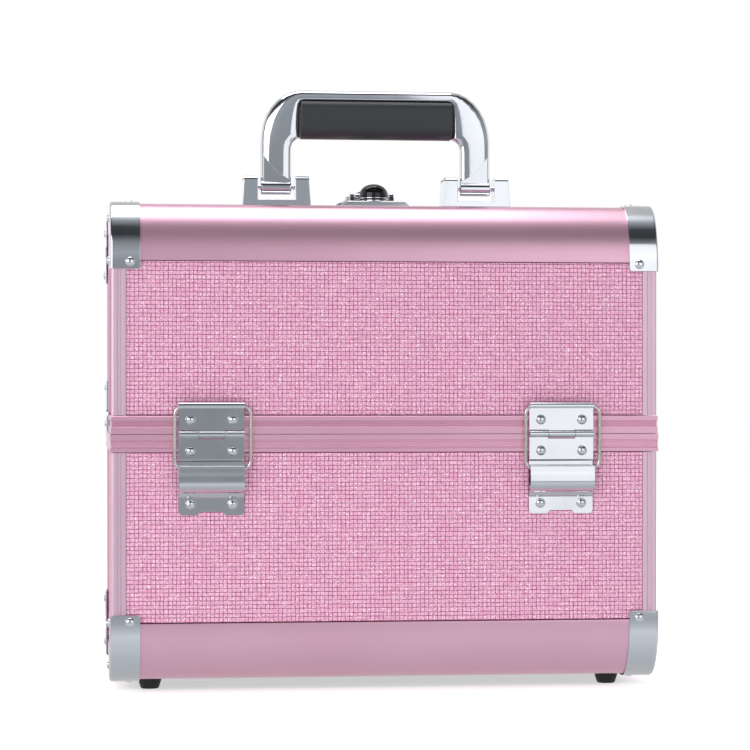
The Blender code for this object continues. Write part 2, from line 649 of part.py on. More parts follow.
def make_arm(end_name, end, side_name, side):
    """A flat arm with round ends, from the rim to the upper tray, holed for both trays' studs."""
    direction = math.degrees(math.atan2(LINK_B, LINK_A))
    foot = (ARM_A, ARM_B)
    tip = (ARM_A + LINK_A, ARM_B + LINK_B)
    radii = (ARM_HALF_WIDTH, ARM_HALF_WIDTH)
    capsule = arc(tip, radii, direction - 90, direction + 90, 8)
    capsule += arc(foot, radii, direction + 90, direction + 270, 8)
    strap = sorted((side * ARM_X, side * (ARM_X + ARM_PLATE)))
    arm = node(f"{end_name}_{side_name}_arm", prism(across(end, capsule), "X", strap[0], strap[1]),
               "arm_steel", end_name + "_arms")
    for share in (1, LOWER_SHARE):
        centre = hinge_point(end, ARM_A + LINK_A * share, ARM_B + LINK_B * share)
        cut(arm, prism(circle(centre, STUD_HOLE), "X", strap[0] - ARM_PLATE, strap[1] + ARM_PLATE))
    pin = sorted((side * (ARM_X + ARM_PLATE / 2), side * (RIM_INNER - GAP)))
    fuse(arm, prism(circle(hinge_point(end, ARM_A, ARM_B), ARM_PIN, 12), "X", pin[0], pin[1]))


# --- handle ------------------------------------------------------------------------------
def make_handle():
    half = HANDLE_THICKNESS / 2
    pin_z = TOP + HANDLE_PIN_HEIGHT
    top = TOP + HANDLE_TOP
    leg_in = HANDLE_HALF_WIDTH - LEG_WIDTH
    shoulder = GRIP_HALF_LENGTH + GAP
    opening = TOP + OPENING_TOP
    bar = TOP + GRIP_TOP + GAP
    corner = (HANDLE_HALF_WIDTH - HANDLE_CORNER_X, top - HANDLE_CORNER_Z)
    right = [(leg_in, pin_z), (HANDLE_HALF_WIDTH, pin_z)]
    right += arc(corner, (HANDLE_CORNER_X, HANDLE_CORNER_Z), 0, 90, 8)
    fillet = arc((leg_in - OPENING_FILLET, opening - OPENING_FILLET), (OPENING_FILLET, OPENING_FILLET), 90, 0, 4)
    inner = [(shoulder, bar), (shoulder, opening)] + fillet
    outline = right + [(-x, z) for x, z in right[::-1]] + [(-x, z) for x, z in inner[::-1]] + inner
    frame = node("handle_frame", prism(outline, "Y", HANDLE_Y - half, HANDLE_Y + half), "chrome", "handle",
                 smooth=True)
    for side in SIDES.values():
        reach = sorted((side * leg_in, side * HANDLE_HALF_WIDTH))
        fuse(frame, prism(circle((HANDLE_Y, pin_z), half), "X", reach[0], reach[1]))
        cut(frame, prism(circle((HANDLE_Y, pin_z), HANDLE_PIN_BORE), "X", reach[0] - MM, reach[1] + MM))

    grip_half = GRIP_THICKNESS / 2
    low, high = opening, TOP + GRIP_TOP
    section = [(HANDLE_Y - grip_half, high)]
    section += arc((HANDLE_Y - grip_half + GRIP_ROUND, low + GRIP_ROUND), (GRIP_ROUND, GRIP_ROUND), 180, 270, 6)
    section += arc((HANDLE_Y + grip_half - GRIP_ROUND, low + GRIP_ROUND), (GRIP_ROUND, GRIP_ROUND), 270, 360, 6)
    section += [(HANDLE_Y + grip_half, high)]
    node("handle_grip", prism(section, "X", -GRIP_HALF_LENGTH, GRIP_HALF_LENGTH), "black_plastic", "handle",
         smooth=True)

    for side_name, side in SIDES.items():
        make_bracket(side_name, side, pin_z)


def make_bracket(side_name, side, pin_z):
    centre = side * HANDLE_LEG_X
    base_z = TOP_FACE + GAP
    base = box((centre - BRACKET_HALF_WIDTH, centre + BRACKET_HALF_WIDTH),
               (HANDLE_Y - BRACKET_HALF_DEPTH, HANDLE_Y + BRACKET_HALF_DEPTH), (base_z, TOP + BRACKET_BASE))
    bracket = node(f"handle_{side_name}_bracket", base, "chrome", "front_lid")
    crown = TOP + EAR_TOP - EAR_ROUND
    foot = BRACKET_HALF_DEPTH - MM
    ear = [(HANDLE_Y - foot, base_z + MM), (HANDLE_Y + foot, base_z + MM)]
    ear += arc((HANDLE_Y, crown), (EAR_ROUND, EAR_ROUND), 0, 180, 8)
    for way in (-1, 1):
        reach = sorted((centre + way * EAR_IN, centre + way * EAR_OUT))
        fuse(bracket, prism(ear, "X", reach[0], reach[1]))
    fuse(bracket, prism(circle((HANDLE_Y, pin_z), HANDLE_PIN_RADIUS, 12), "X",
                        centre - EAR_IN - MM, centre + EAR_IN + MM))


# --- latch -------------------------------------------------------------------------------
def latch_base(height):
    """Front view of a latch's base: a low block with sloping ends."""
    low = TOP_FACE + GAP
    width = LATCH_HALF_WIDTH
    crown = width - LATCH_SLOPE
    return [(-width, low), (width, low), (width, TOP + MM), (crown, TOP + height),
            (-crown, TOP + height), (-width, TOP + MM)]


def make_latch():
    housing = node("latch_housing", prism(latch_base(LATCH_HEIGHT), "Y", LATCH_FRONT, LATCH_REAR), "chrome",
                   "front_lid")
    pin = (LATCH_PIN_Y, TOP + LATCH_PIN_HEIGHT)
    foot = TOP + LATCH_HEIGHT - MM
    for way in (-1, 1):
        reach = sorted((way * CHEEK_IN, way * CHEEK_OUT))
        cheek = arc(pin, (LATCH_BARREL, LATCH_BARREL), 0, 180, 8)
        cheek += [(pin[0] - LATCH_BARREL, foot), (pin[0] + LATCH_BARREL, foot)]
        fuse(housing, prism(cheek, "X", reach[0], reach[1]))
    fuse(housing, prism(circle(pin, LATCH_PIN_RADIUS, 12), "X", -CHEEK_IN - MM, CHEEK_IN + MM))

    width = CHEEK_IN - FLAP_CLEAR
    underside = TOP + FLAP_UNDERSIDE
    plate = box((-width, width), (LATCH_PIN_Y, FLAP_TIP), (underside, underside + FLAP_PLATE))
    flap = node("latch_flap", plate, "chrome", "latch_flap")
    fuse(flap, prism(circle(pin, LATCH_PIN_HEIGHT - FLAP_UNDERSIDE), "X", -width, width))
    cover = [(-COVER_HALF_WIDTH, underside), (COVER_HALF_WIDTH, underside), (COVER_HALF_WIDTH, TOP + COVER_SHOULDER),
             (COVER_CROWN_HALF_WIDTH, TOP + COVER_CROWN), (-COVER_CROWN_HALF_WIDTH, TOP + COVER_CROWN),
             (-COVER_HALF_WIDTH, TOP + COVER_SHOULDER)]
    fuse(flap, prism(cover, "Y", COVER_START, FLAP_TIP))
    cut(flap, prism(circle(pin, LATCH_BORE, 12), "X", -CHEEK_IN, CHEEK_IN))

    seat = LATCH_HEIGHT + GAP
    skirt = 2 * MM
    dome = arc((0, seat + skirt), (KNOB_RADIUS, KNOB_CROWN - seat - skirt), 0, 90, 6)[:-1]
    profile = [(KNOB_RADIUS, seat)] + dome + [(0, KNOB_CROWN)]
    node("latch_knob", turned(profile, (0, KNOB_Y, TOP), "Z", 24), "black_plastic", "latch_knob", smooth=True)

    strike = prism(latch_base(STRIKE_HEIGHT), "Y", FLAP_TIP + 0.5 * MM, STRIKE_REAR)
    node("latch_strike", strike, "chrome", "rear_lid")


# --- assembly ----------------------------------------------------------------------------
def place_pivots():
    for name, end in ENDS.items():
        lid = name + "_lid"
        PIVOTS.add(lid, (0, *hinge_point(end, 0, 0)))
        PIVOTS.add(name + "_stays", (0, *hinge_point(end, 0, CURL_HEIGHT)), lid)
        PIVOTS.add(name + "_arms", (0, *hinge_point(end, ARM_A, ARM_B)))
        PIVOTS.add(name + "_upper_tray", (0, *hinge_point(end, LINK_A, LINK_B)), lid)
        PIVOTS.add(name + "_lower_tray", (0, *hinge_point(end, *LOWER_LINK)), lid)
    PIVOTS.add("handle", (0, HANDLE_Y, TOP + HANDLE_PIN_HEIGHT), "front_lid")
    PIVOTS.add("latch_flap", (0, LATCH_PIN_Y, TOP + LATCH_PIN_HEIGHT), "front_lid")
    PIVOTS.add("latch_knob", (0, KNOB_Y, TOP + KNOB_CROWN), "front_lid")


def main():
    clear_scene()
    MATERIALS["weave_panel"] = make_material("weave_panel", (0.69, 0.37, 0.50), 0.45, 0.0)
    MATERIALS["floor_panel"] = make_material("floor_panel", (0.05, 0.05, 0.05), 0.7, 0.0)
    MATERIALS["aluminium"] = make_material("aluminium", (0.70, 0.42, 0.53), 0.3, 1.0)
    MATERIALS["chrome"] = make_material("chrome", (0.80, 0.80, 0.83), 0.12, 1.0)
    MATERIALS["hinge_steel"] = make_material("hinge_steel", (0.66, 0.66, 0.68), 0.2, 1.0)
    MATERIALS["arm_steel"] = make_material("arm_steel", (0.55, 0.55, 0.57), 0.35, 1.0)
    MATERIALS["rubber"] = make_material("rubber", (0.02, 0.02, 0.02), 0.8, 0.0)
    MATERIALS["black_plastic"] = make_material("black_plastic", (0.03, 0.03, 0.035), 0.4, 0.0)
    MATERIALS["tray_plastic"] = make_material("tray_plastic", (0.05, 0.05, 0.055), 0.5, 0.0)

    place_pivots()
    make_base()
    make_feet()
    for end_name, end in ENDS.items():
        make_lid(end_name, end)
        for side_name, side in SIDES.items():
            make_corner(f"base_{end_name}_{side_name}_corner", end, side, False)
            make_hinge(end_name, end, side_name, side)
            make_arm(end_name, end, side_name, side)
        make_tray(end_name, end, "upper", (LINK_A, LINK_B), UPPER_PIVOT_RISE)
        make_tray(end_name, end, "lower", LOWER_LINK, LOWER_PIVOT_RISE)
    make_handle()
    make_latch()


main()
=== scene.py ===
import json
import math

import bmesh
import bpy
from mathutils import Matrix, Vector


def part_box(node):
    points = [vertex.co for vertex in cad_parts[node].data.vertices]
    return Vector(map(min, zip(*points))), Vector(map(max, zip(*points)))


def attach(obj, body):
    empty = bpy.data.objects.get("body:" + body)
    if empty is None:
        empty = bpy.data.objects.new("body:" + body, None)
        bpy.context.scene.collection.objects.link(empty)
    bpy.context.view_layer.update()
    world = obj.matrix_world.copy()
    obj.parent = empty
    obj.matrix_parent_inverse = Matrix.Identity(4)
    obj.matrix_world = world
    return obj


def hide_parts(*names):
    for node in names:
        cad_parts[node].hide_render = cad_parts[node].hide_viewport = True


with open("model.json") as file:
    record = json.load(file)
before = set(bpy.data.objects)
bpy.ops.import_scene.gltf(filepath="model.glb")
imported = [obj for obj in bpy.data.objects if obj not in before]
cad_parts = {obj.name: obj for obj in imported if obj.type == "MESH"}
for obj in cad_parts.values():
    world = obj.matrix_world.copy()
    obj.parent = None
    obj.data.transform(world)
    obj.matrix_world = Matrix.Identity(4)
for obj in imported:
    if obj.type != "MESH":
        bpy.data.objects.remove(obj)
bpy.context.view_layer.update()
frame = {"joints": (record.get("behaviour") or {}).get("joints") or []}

MM = 0.001
PIVOT = {joint["name"]: Vector(joint["pos_m"]) for joint in frame["joints"]}

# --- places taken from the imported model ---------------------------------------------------
RIM_LOW, RIM_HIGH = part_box("base_rim")
BELT_X, BELT_Y = RIM_HIGH.x, RIM_HIGH.y
RIM_FOOT, RIM_TOP = RIM_LOW.z, RIM_HIGH.z
RAIL_LOW, RAIL_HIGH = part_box("base_front_round_rail")
FRONT = -RAIL_LOW.y                       # half the depth over the frames
RAIL_DEPTH = RAIL_HIGH.y - RAIL_LOW.y
RAIL_RISE = RAIL_HIGH.z - RAIL_LOW.z
PANEL_X = RAIL_HIGH.x
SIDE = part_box("base_right_side")[1].x     # half the width over the frames
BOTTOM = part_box("base_right_side")[0].z
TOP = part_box("front_lid_right_side")[1].z
LID_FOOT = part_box("front_lid_mouth_frame")[0].z
JOINT = (LID_FOOT + RIM_TOP) / 2
PARTING = LID_FOOT - RIM_TOP
GAP = 0.3 * MM
CAP_FACE = -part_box("base_front_left_corner")[0].x
HINGE = PIVOT["front_lid_hinge"]
LEAF_LOW, LEAF_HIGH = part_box("front_right_hinge_base_leaf")
HINGE_X = LEAF_LOW.x / 2 + LEAF_HIGH.x / 2
LEAF_HALF = LEAF_HIGH.x - HINGE_X
SPLIT_RAIL = 6.5 * MM                     # from the split between the lids
BELT_RISE = 10.5 * MM                     # height of either half of the belt
# the other three quarters of the lids, after the front left one: stem, body and mirroring
LID_TWINS = (("front_lid_right", "front_lid", -1, 1), ("rear_lid_left", "rear_lid", 1, -1),
             ("rear_lid_right", "rear_lid", -1, -1))


# --- making pieces ------------------------------------------------------------------------
def only(piece):
    """Selects one piece alone and makes it the active one."""
    bpy.ops.object.select_all(action="DESELECT")
    piece.select_set(True)
    bpy.context.view_layer.objects.active = piece


def edit(piece):
    """Opens a piece for work on its edges, with none picked."""
    only(piece)
    bpy.ops.object.mode_set(mode="EDIT")
    bpy.ops.mesh.select_mode(type="EDGE")
    bpy.ops.mesh.select_all(action="DESELECT")


def leave():
    bpy.ops.object.mode_set(mode="OBJECT")


def pick_edges(piece, test):
    """Selects the edges whose two ends both pass a test of place."""
    shape = bmesh.from_edit_mesh(piece.data)
    for edge in shape.edges:
        edge.select = test(edge.verts[0].co, edge.verts[1].co)
    shape.select_flush_mode()
    bmesh.update_edit_mesh(piece.data)


def arc(centre, radii, start, stop, steps):
    """Points along part of an ellipse, in degrees."""
    turns = [math.radians(start + (stop - start) * i / steps) for i in range(steps + 1)]
    return [(centre[0] + radii[0] * math.cos(t), centre[1] + radii[1] * math.sin(t)) for t in turns]


def circle(centre, radius, sides=24):
    return arc(centre, (radius, radius), 0, 360 - 360 / sides, sides - 1)


def across(axis, along, points):
    """Sets flat points across an axis: X takes (y, z), Y takes (x, z) and Z takes (x, y)."""
    if axis == "X":
        return [Vector((along, u, v)) for u, v in points]
    if axis == "Y":
        return [Vector((u, along, v)) for u, v in points]
    return [Vector((u, v, along)) for u, v in points]


def drawn(name, spots):
    """Draws an open line point by point and stays in edit mode."""
    bpy.ops.object.select_all(action="DESELECT")
    bpy.ops.mesh.primitive_plane_add(size=MM)
    piece = bpy.context.object
    piece.name = piece.data.name = name
    bpy.ops.object.mode_set(mode="EDIT")
    bpy.ops.mesh.select_mode(type="VERT")
    bpy.ops.mesh.merge(type="CENTER")
    bpy.ops.transform.translate(value=spots[0])
    for here, there in zip(spots, spots[1:]):
        bpy.ops.mesh.extrude_region_move(TRANSFORM_OT_translate={"value": there - here})
    return piece


def filled(name, spots):
    """Draws a closed outline, fills it and stays in edit mode."""
    piece = drawn(name, spots)
    bpy.ops.mesh.select_all(action="SELECT")
    bpy.ops.mesh.edge_face_add()
    return piece


def extruded(name, axis, low, high, points):
    """A closed outline carried straight along an axis."""
    piece = filled(name, across(axis, low, points))
    way = Vector((axis == "X", axis == "Y", axis == "Z")) * (high - low)
    bpy.ops.mesh.extrude_region_move(TRANSFORM_OT_translate={"value": way})
    bpy.ops.mesh.select_all(action="SELECT")
    bpy.ops.mesh.normals_make_consistent(inside=False)
    leave()
    return piece


def block(name, low, high):
    return extruded(name, "Z", low[2], high[2],
                    [(low[0], low[1]), (high[0], low[1]), (high[0], high[1]), (low[0], high[1])])


def swept(name, rings, closed=False):
    """Carries an outline through a list of rings, joined end to end when closed."""
    piece = filled(name, rings[0])
    last = rings[0]
    for ring in rings[1:]:
        bpy.ops.mesh.extrude_region_move()
        shape = bmesh.from_edit_mesh(piece.data)
        for vert in shape.verts:
            if vert.select:
                spot = min(range(len(last)), key=lambda i: (last[i] - vert.co).length_squared)
                vert.co = ring[spot]
        bmesh.update_edit_mesh(piece.data)
        last = ring
    if closed:
        shape = bmesh.from_edit_mesh(piece.data)
        ends = [face for face in shape.faces if len(face.verts) == len(last)]
        for face in shape.faces:
            face.select = face in ends
        bmesh.update_edit_mesh(piece.data)
        bpy.ops.mesh.delete(type="ONLY_FACE")
        bpy.ops.mesh.select_all(action="DESELECT")
        bpy.ops.mesh.select_non_manifold()
        bpy.ops.mesh.bridge_edge_loops()
    bpy.ops.mesh.select_all(action="SELECT")
    bpy.ops.mesh.normals_make_consistent(inside=False)
    leave()
    return piece


def turned(name, profile, steps=32):
    """Spins a line of (radius, height) points about the upright axis through the origin."""
    piece = drawn(name, [Vector((radius, 0, height)) for radius, height in profile])
    bpy.ops.mesh.select_all(action="SELECT")
    bpy.ops.mesh.spin(steps=steps, angle=math.tau, center=(0, 0, 0), axis=(0, 0, 1))
    bpy.ops.mesh.select_all(action="SELECT")
    bpy.ops.mesh.remove_doubles(threshold=0.002 * MM)
    bpy.ops.mesh.normals_make_consistent(inside=False)
    leave()
    return piece


def softened(piece, width, segments=2, angle=30):
    """Rounds every edge sharper than an angle."""
    only(piece)
    bevel = piece.modifiers.new("edges", "BEVEL")
    bevel.width = width
    bevel.segments = segments
    bevel.limit_method = "ANGLE"
    bevel.angle_limit = math.radians(angle)
    bpy.ops.object.modifier_apply(modifier=bevel.name)
    return piece


def combined(piece, other, operation="DIFFERENCE"):
    """Cuts, joins or crosses a piece with another, which is used up."""
    only(piece)
    boolean = piece.modifiers.new("shape", "BOOLEAN")
    boolean.operation = operation
    boolean.solver = "EXACT"
    boolean.object = other
    bpy.ops.object.modifier_apply(modifier=boolean.name)
    bpy.data.objects.remove(other)
    return piece


def joined(name, pieces):
    only(pieces[0])
    for piece in pieces[1:]:
        piece.select_set(True)
    bpy.ops.object.join()
    pieces[0].name = pieces[0].data.name = name
    return pieces[0]


def copied(piece, name, matrix):
    """A copy with its own mesh, carried to its place; a mirrored one is turned outside out again."""
    twin = piece.copy()
    twin.data = piece.data.copy()
    twin.name = twin.data.name = name
    bpy.context.scene.collection.objects.link(twin)
    twin.data.transform(matrix)
    if matrix.determinant() < 0:
        twin.data.flip_normals()
    return twin


def mirrored(piece, name, x=1, y=1):
    return copied(piece, name, Matrix.Diagonal((x, y, 1, 1)))


def towards(place, outward):
    """Where something modelled upright comes to stand on a place, facing outwards."""
    turn = Vector(outward).to_track_quat("Z", "Y").to_matrix().to_4x4()
    return Matrix.Translation(place) @ turn


def paint(piece, material, test):
    """Gives a second material to the faces that pass a test of place and direction."""
    piece.data.materials.append(material)
    index = len(piece.data.materials) - 1
    for face in piece.data.polygons:
        if test(face.center, face.normal):
            face.material_index = index


def finish(piece, body, material=None, nodes=(), angle=40):
    """Shades a piece, ties it to its body and hides the plain nodes it stands in for."""
    if material:
        piece.data.materials.clear()
        piece.data.materials.append(material)
    only(piece)
    bpy.ops.object.shade_smooth_by_angle(angle=math.radians(angle))
    flats = piece.modifiers.new("flats", "WEIGHTED_NORMAL")
    flats.keep_sharp = True
    bpy.ops.object.modifier_apply(modifier=flats.name)
    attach(piece, body)
    if nodes:
        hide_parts(*nodes)


# --- materials ----------------------------------------------------------------------------
def colour(code):
    """An sRGB hex value as linear red, green, blue and alpha."""
    parts = [int(code[i:i + 2], 16) / 255 for i in (1, 3, 5)]
    return tuple(c / 12.92 if c <= 0.04045 else ((c + 0.055) / 1.055) ** 2.4 for c in parts) + (1.0,)


def add(tree, kind, inputs=None, **settings):
    """Adds a node with its settings, its values and the links into it."""
    node = tree.nodes.new(kind)
    for key, value in settings.items():
        setattr(node, key, value)
    for key, value in (inputs or {}).items():
        if isinstance(value, bpy.types.NodeSocket):
            tree.links.new(value, node.inputs[key])
        else:
            node.inputs[key].default_value = value
    return node


def new_material(name):
    material = bpy.data.materials.new(name)
    material.use_nodes = True
    material.node_tree.nodes.clear()
    return material, material.node_tree


THREAD = 2.45      # mm between the lines printed and pressed into the laminate
LINE = 0.35        # mm, width of one line
SPARKLE = 0.36     # mm, one flake of glitter, coarser than real so that it shows


def glitter_laminate(name, first, second):
    """PVC film with glitter under it, heat-pressed on a woven roller: a pale pink ground broken by a
    wandering square mesh of deeper pink threads, with painted glints: some glitter flakes coloured
    near-white."""
    material, tree = new_material(name)
    place = add(tree, "ShaderNodeTexCoord")
    millimetres = add(tree, "ShaderNodeVectorMath", {0: place.outputs["Object"], 1: (1000, 1000, 1000)},
                      operation="MULTIPLY")
    parts = add(tree, "ShaderNodeSeparateXYZ", {0: millimetres.outputs[0]})
    masks = []
    for near, far, faint in ((first, second, 0.3), (second, first, 0.85)):
        # threads wander a little along their length
        drift = add(tree, "ShaderNodeCombineXYZ", {"X": parts.outputs[far]})
        wander = add(tree, "ShaderNodeTexNoise", {"Vector": drift.outputs[0], "Scale": 0.11, "Detail": 1.0})
        row = add(tree, "ShaderNodeMath", {0: parts.outputs[near], 1: 1 / THREAD}, operation="MULTIPLY")
        number = add(tree, "ShaderNodeMath", {0: row.outputs[0]}, operation="ROUND")
        uneven = add(tree, "ShaderNodeTexWhiteNoise", {"W": number.outputs[0]}, noise_dimensions="1D")
        offset = add(tree, "ShaderNodeMath", {0: uneven.outputs["Value"], 1: 0.16, 2: -0.16},
                     operation="MULTIPLY_ADD")
        bend = add(tree, "ShaderNodeMath", {0: wander.outputs[0], 1: 0.16, 2: offset.outputs[0]},
                   operation="MULTIPLY_ADD")
        shifted = add(tree, "ShaderNodeMath", {0: row.outputs[0], 1: bend.outputs[0]}, operation="ADD")
        wave = add(tree, "ShaderNodeMath", {0: shifted.outputs[0], 1: 0.5}, operation="PINGPONG")
        edge = add(tree, "ShaderNodeMapRange",
                   {"Value": wave.outputs[0], "From Min": LINE / THREAD * 0.3,
                    "From Max": LINE / THREAD * 0.8, "To Min": 1.0, "To Max": 0.0},
                   interpolation_type="SMOOTHSTEP")
        # each thread is darker or fainter from place to place
        patch = add(tree, "ShaderNodeCombineXYZ", {"X": parts.outputs[far], "Y": number.outputs[0]})
        patchy = add(tree, "ShaderNodeTexNoise", {"Vector": patch.outputs[0], "Scale": 0.35, "Detail": 2.0})
        weight = add(tree, "ShaderNodeMapRange",
                     {"Value": patchy.outputs[0], "From Min": 0.34, "From Max": 0.56, "To Min": faint,
                      "To Max": 1.0})
        masks.append(add(tree, "ShaderNodeMath", {0: edge.outputs[0], 1: weight.outputs[0]},
                         operation="MULTIPLY"))
    mesh = add(tree, "ShaderNodeMath", {0: masks[0].outputs[0], 1: masks[1].outputs[0]}, operation="MAXIMUM")
    flakes = add(tree, "ShaderNodeTexVoronoi", {"Vector": millimetres.outputs[0], "Scale": 1 / SPARKLE})
    chance = add(tree, "ShaderNodeSeparateColor", {0: flakes.outputs["Color"]})
    lit = add(tree, "ShaderNodeMapRange", {"Value": chance.outputs[0], "From Min": 0.85, "From Max": 0.93})
    deep = add(tree, "ShaderNodeMapRange", {"Value": chance.outputs[1], "From Min": 0.55, "From Max": 1.0,
                                            "To Max": 0.4})
    ground = add(tree, "ShaderNodeMix",
                 {"Factor": deep.outputs[0], 6: colour("#E0A2BF"), 7: colour("#BC6893")}, data_type="RGBA")
    threads = add(tree, "ShaderNodeMix",
                  {"Factor": mesh.outputs[0], 6: ground.outputs[2], 7: colour("#86205A")}, data_type="RGBA")
    # painted glints: some glitter flakes are coloured near-white, fewer of them on the threads
    calm = add(tree, "ShaderNodeMath", {0: mesh.outputs[0], 1: -0.75, 2: 1.0}, operation="MULTIPLY_ADD")
    painted_glint = add(tree, "ShaderNodeMath", {0: lit.outputs[0], 1: calm.outputs[0]}, operation="MULTIPLY")
    tint = add(tree, "ShaderNodeMix",
               {"Factor": painted_glint.outputs[0], 6: threads.outputs[2], 7: colour("#FFF8FC")}, data_type="RGBA")
    gloss = add(tree, "ShaderNodeMapRange", {"Value": chance.outputs[2], "To Min": 0.28, "To Max": 0.62})
    height = add(tree, "ShaderNodeMath", {0: mesh.outputs[0], 1: -1.0, 2: chance.outputs[1]},
                 operation="MULTIPLY_ADD")
    bump = add(tree, "ShaderNodeBump",
               {"Strength": 0.35, "Distance": 0.12 * MM, "Height": height.outputs[0]})
    shader = add(tree, "ShaderNodeBsdfPrincipled",
                 {"Base Color": tint.outputs[2], "Roughness": gloss.outputs[0], "Normal": bump.outputs[0],
                  "IOR": 1.5, "Specular IOR Level": 0.35})
    add(tree, "ShaderNodeOutputMaterial", {"Surface": shader.outputs[0]})
    return material


def pink_aluminium(name, along, soft, pale, full):
    """Extruded aluminium, fine-blasted and dyed pink in the anodising bath: a soft satin metal with
    faint die lines running the way it was drawn."""
    material, tree = new_material(name)
    place = add(tree, "ShaderNodeTexCoord")
    squeeze = [4000, 4000, 4000]
    squeeze["XYZ".index(along)] = 40
    drawn_out = add(tree, "ShaderNodeMapping", {"Vector": place.outputs["Object"], "Scale": squeeze})
    lines = add(tree, "ShaderNodeTexNoise", {"Vector": drawn_out.outputs[0], "Scale": 1.0, "Detail": 2.0})
    here = place.outputs["Object"]
    grit = add(tree, "ShaderNodeTexNoise", {"Vector": here, "Scale": 9000.0, "Detail": 1.0})
    cloud = add(tree, "ShaderNodeTexNoise", {"Vector": here, "Scale": 18.0, "Detail": 2.0})
    dye = add(tree, "ShaderNodeMix", {"Factor": cloud.outputs[0], 6: colour(full), 7: colour(pale)},
              data_type="RGBA")
    satin = add(tree, "ShaderNodeMapRange",
                {"Value": lines.outputs[0], "To Min": soft - 0.03, "To Max": soft + 0.03})
    relief = add(tree, "ShaderNodeMath", {0: lines.outputs[0], 1: 0.6, 2: grit.outputs[0]},
                 operation="MULTIPLY_ADD")
    bump = add(tree, "ShaderNodeBump",
               {"Strength": 0.04, "Distance": 0.02 * MM, "Height": relief.outputs[0]})
    shader = add(tree, "ShaderNodeBsdfPrincipled",
                 {"Base Color": dye.outputs[2], "Metallic": 0.84, "Roughness": satin.outputs[0],
                  "Normal": bump.outputs[0], "Coat Weight": 0.25, "Coat Roughness": 0.25})
    add(tree, "ShaderNodeOutputMaterial", {"Surface": shader.outputs[0]})
    return material


def plated_metal(name, tint, smooth, worn, ripple, waviness):
    """Plated metal: a mirror over whatever the pressing or casting left under it, with a few
    finger marks that dull it slightly."""
    material, tree = new_material(name)
    place = add(tree, "ShaderNodeTexCoord")
    here = place.outputs["Object"]
    marks = add(tree, "ShaderNodeTexNoise", {"Vector": here, "Scale": 60.0, "Detail": 4.0})
    dull = add(tree, "ShaderNodeMapRange", {"Value": marks.outputs[0], "From Min": 0.35, "From Max": 0.75,
                                            "To Min": smooth, "To Max": worn})
    wave = add(tree, "ShaderNodeTexNoise", {"Vector": here, "Scale": ripple, "Detail": 1.5})
    bump = add(tree, "ShaderNodeBump",
               {"Strength": waviness, "Distance": 0.3 * MM, "Height": wave.outputs[0]})
    shader = add(tree, "ShaderNodeBsdfPrincipled",
                 {"Base Color": colour(tint), "Metallic": 1.0, "Roughness": dull.outputs[0],
                  "Normal": bump.outputs[0]})
    add(tree, "ShaderNodeOutputMaterial", {"Surface": shader.outputs[0]})
    return material


def moulded_plastic(name, tint, rough, grain, depth):
    """Injection-moulded plastic or rubber: one dark colour, a fine spark-eroded grain and an uneven
    sheen where it has been handled."""
    material, tree = new_material(name)
    place = add(tree, "ShaderNodeTexCoord")
    here = place.outputs["Object"]
    erosion = add(tree, "ShaderNodeTexVoronoi", {"Vector": here, "Scale": 1000 / grain})
    handled = add(tree, "ShaderNodeTexNoise", {"Vector": here, "Scale": 45.0, "Detail": 3.0})
    sheen = add(tree, "ShaderNodeMapRange", {"Value": handled.outputs[0], "From Min": 0.3, "From Max": 0.7,
                                             "To Min": rough - 0.05, "To Max": rough + 0.05})
    bump = add(tree, "ShaderNodeBump", {"Strength": depth, "Distance": 0.05 * MM,
                                        "Height": erosion.outputs["Distance"]})
    shader = add(tree, "ShaderNodeBsdfPrincipled",
                 {"Base Color": colour(tint), "Roughness": sheen.outputs[0], "Normal": bump.outputs[0],
                  "IOR": 1.5})
    add(tree, "ShaderNodeOutputMaterial", {"Surface": shader.outputs[0]})
    return material


def brushed_lining(name):
    """Black brushed nylon glued over thin foam: matt, with a short nap that goes lighter at a glance."""
    material, tree = new_material(name)
    place = add(tree, "ShaderNodeTexCoord")
    here = place.outputs["Object"]
    nap = add(tree, "ShaderNodeTexNoise", {"Vector": here, "Scale": 1600.0, "Detail": 3.0})
    rubbed = add(tree, "ShaderNodeTexNoise", {"Vector": here, "Scale": 30.0, "Detail": 3.0})
    both = add(tree, "ShaderNodeMath", {0: nap.outputs[0], 1: 0.6, 2: rubbed.outputs[0]},
               operation="MULTIPLY_ADD")
    shade = add(tree, "ShaderNodeMapRange", {"Value": both.outputs[0], "From Min": 0.5, "From Max": 1.1})
    tint = add(tree, "ShaderNodeMix",
               {"Factor": shade.outputs[0], 6: colour("#17171A"), 7: colour("#2C2C31")}, data_type="RGBA")
    bump = add(tree, "ShaderNodeBump", {"Strength": 0.5, "Distance": 0.15 * MM, "Height": nap.outputs[0]})
    shader = add(tree, "ShaderNodeBsdfPrincipled",
                 {"Base Color": tint.outputs[2], "Roughness": 0.92, "Normal": bump.outputs[0],
                  "Sheen Weight": 0.35, "Sheen Roughness": 0.5, "Specular IOR Level": 0.2})
    add(tree, "ShaderNodeOutputMaterial", {"Surface": shader.outputs[0]})
    return material


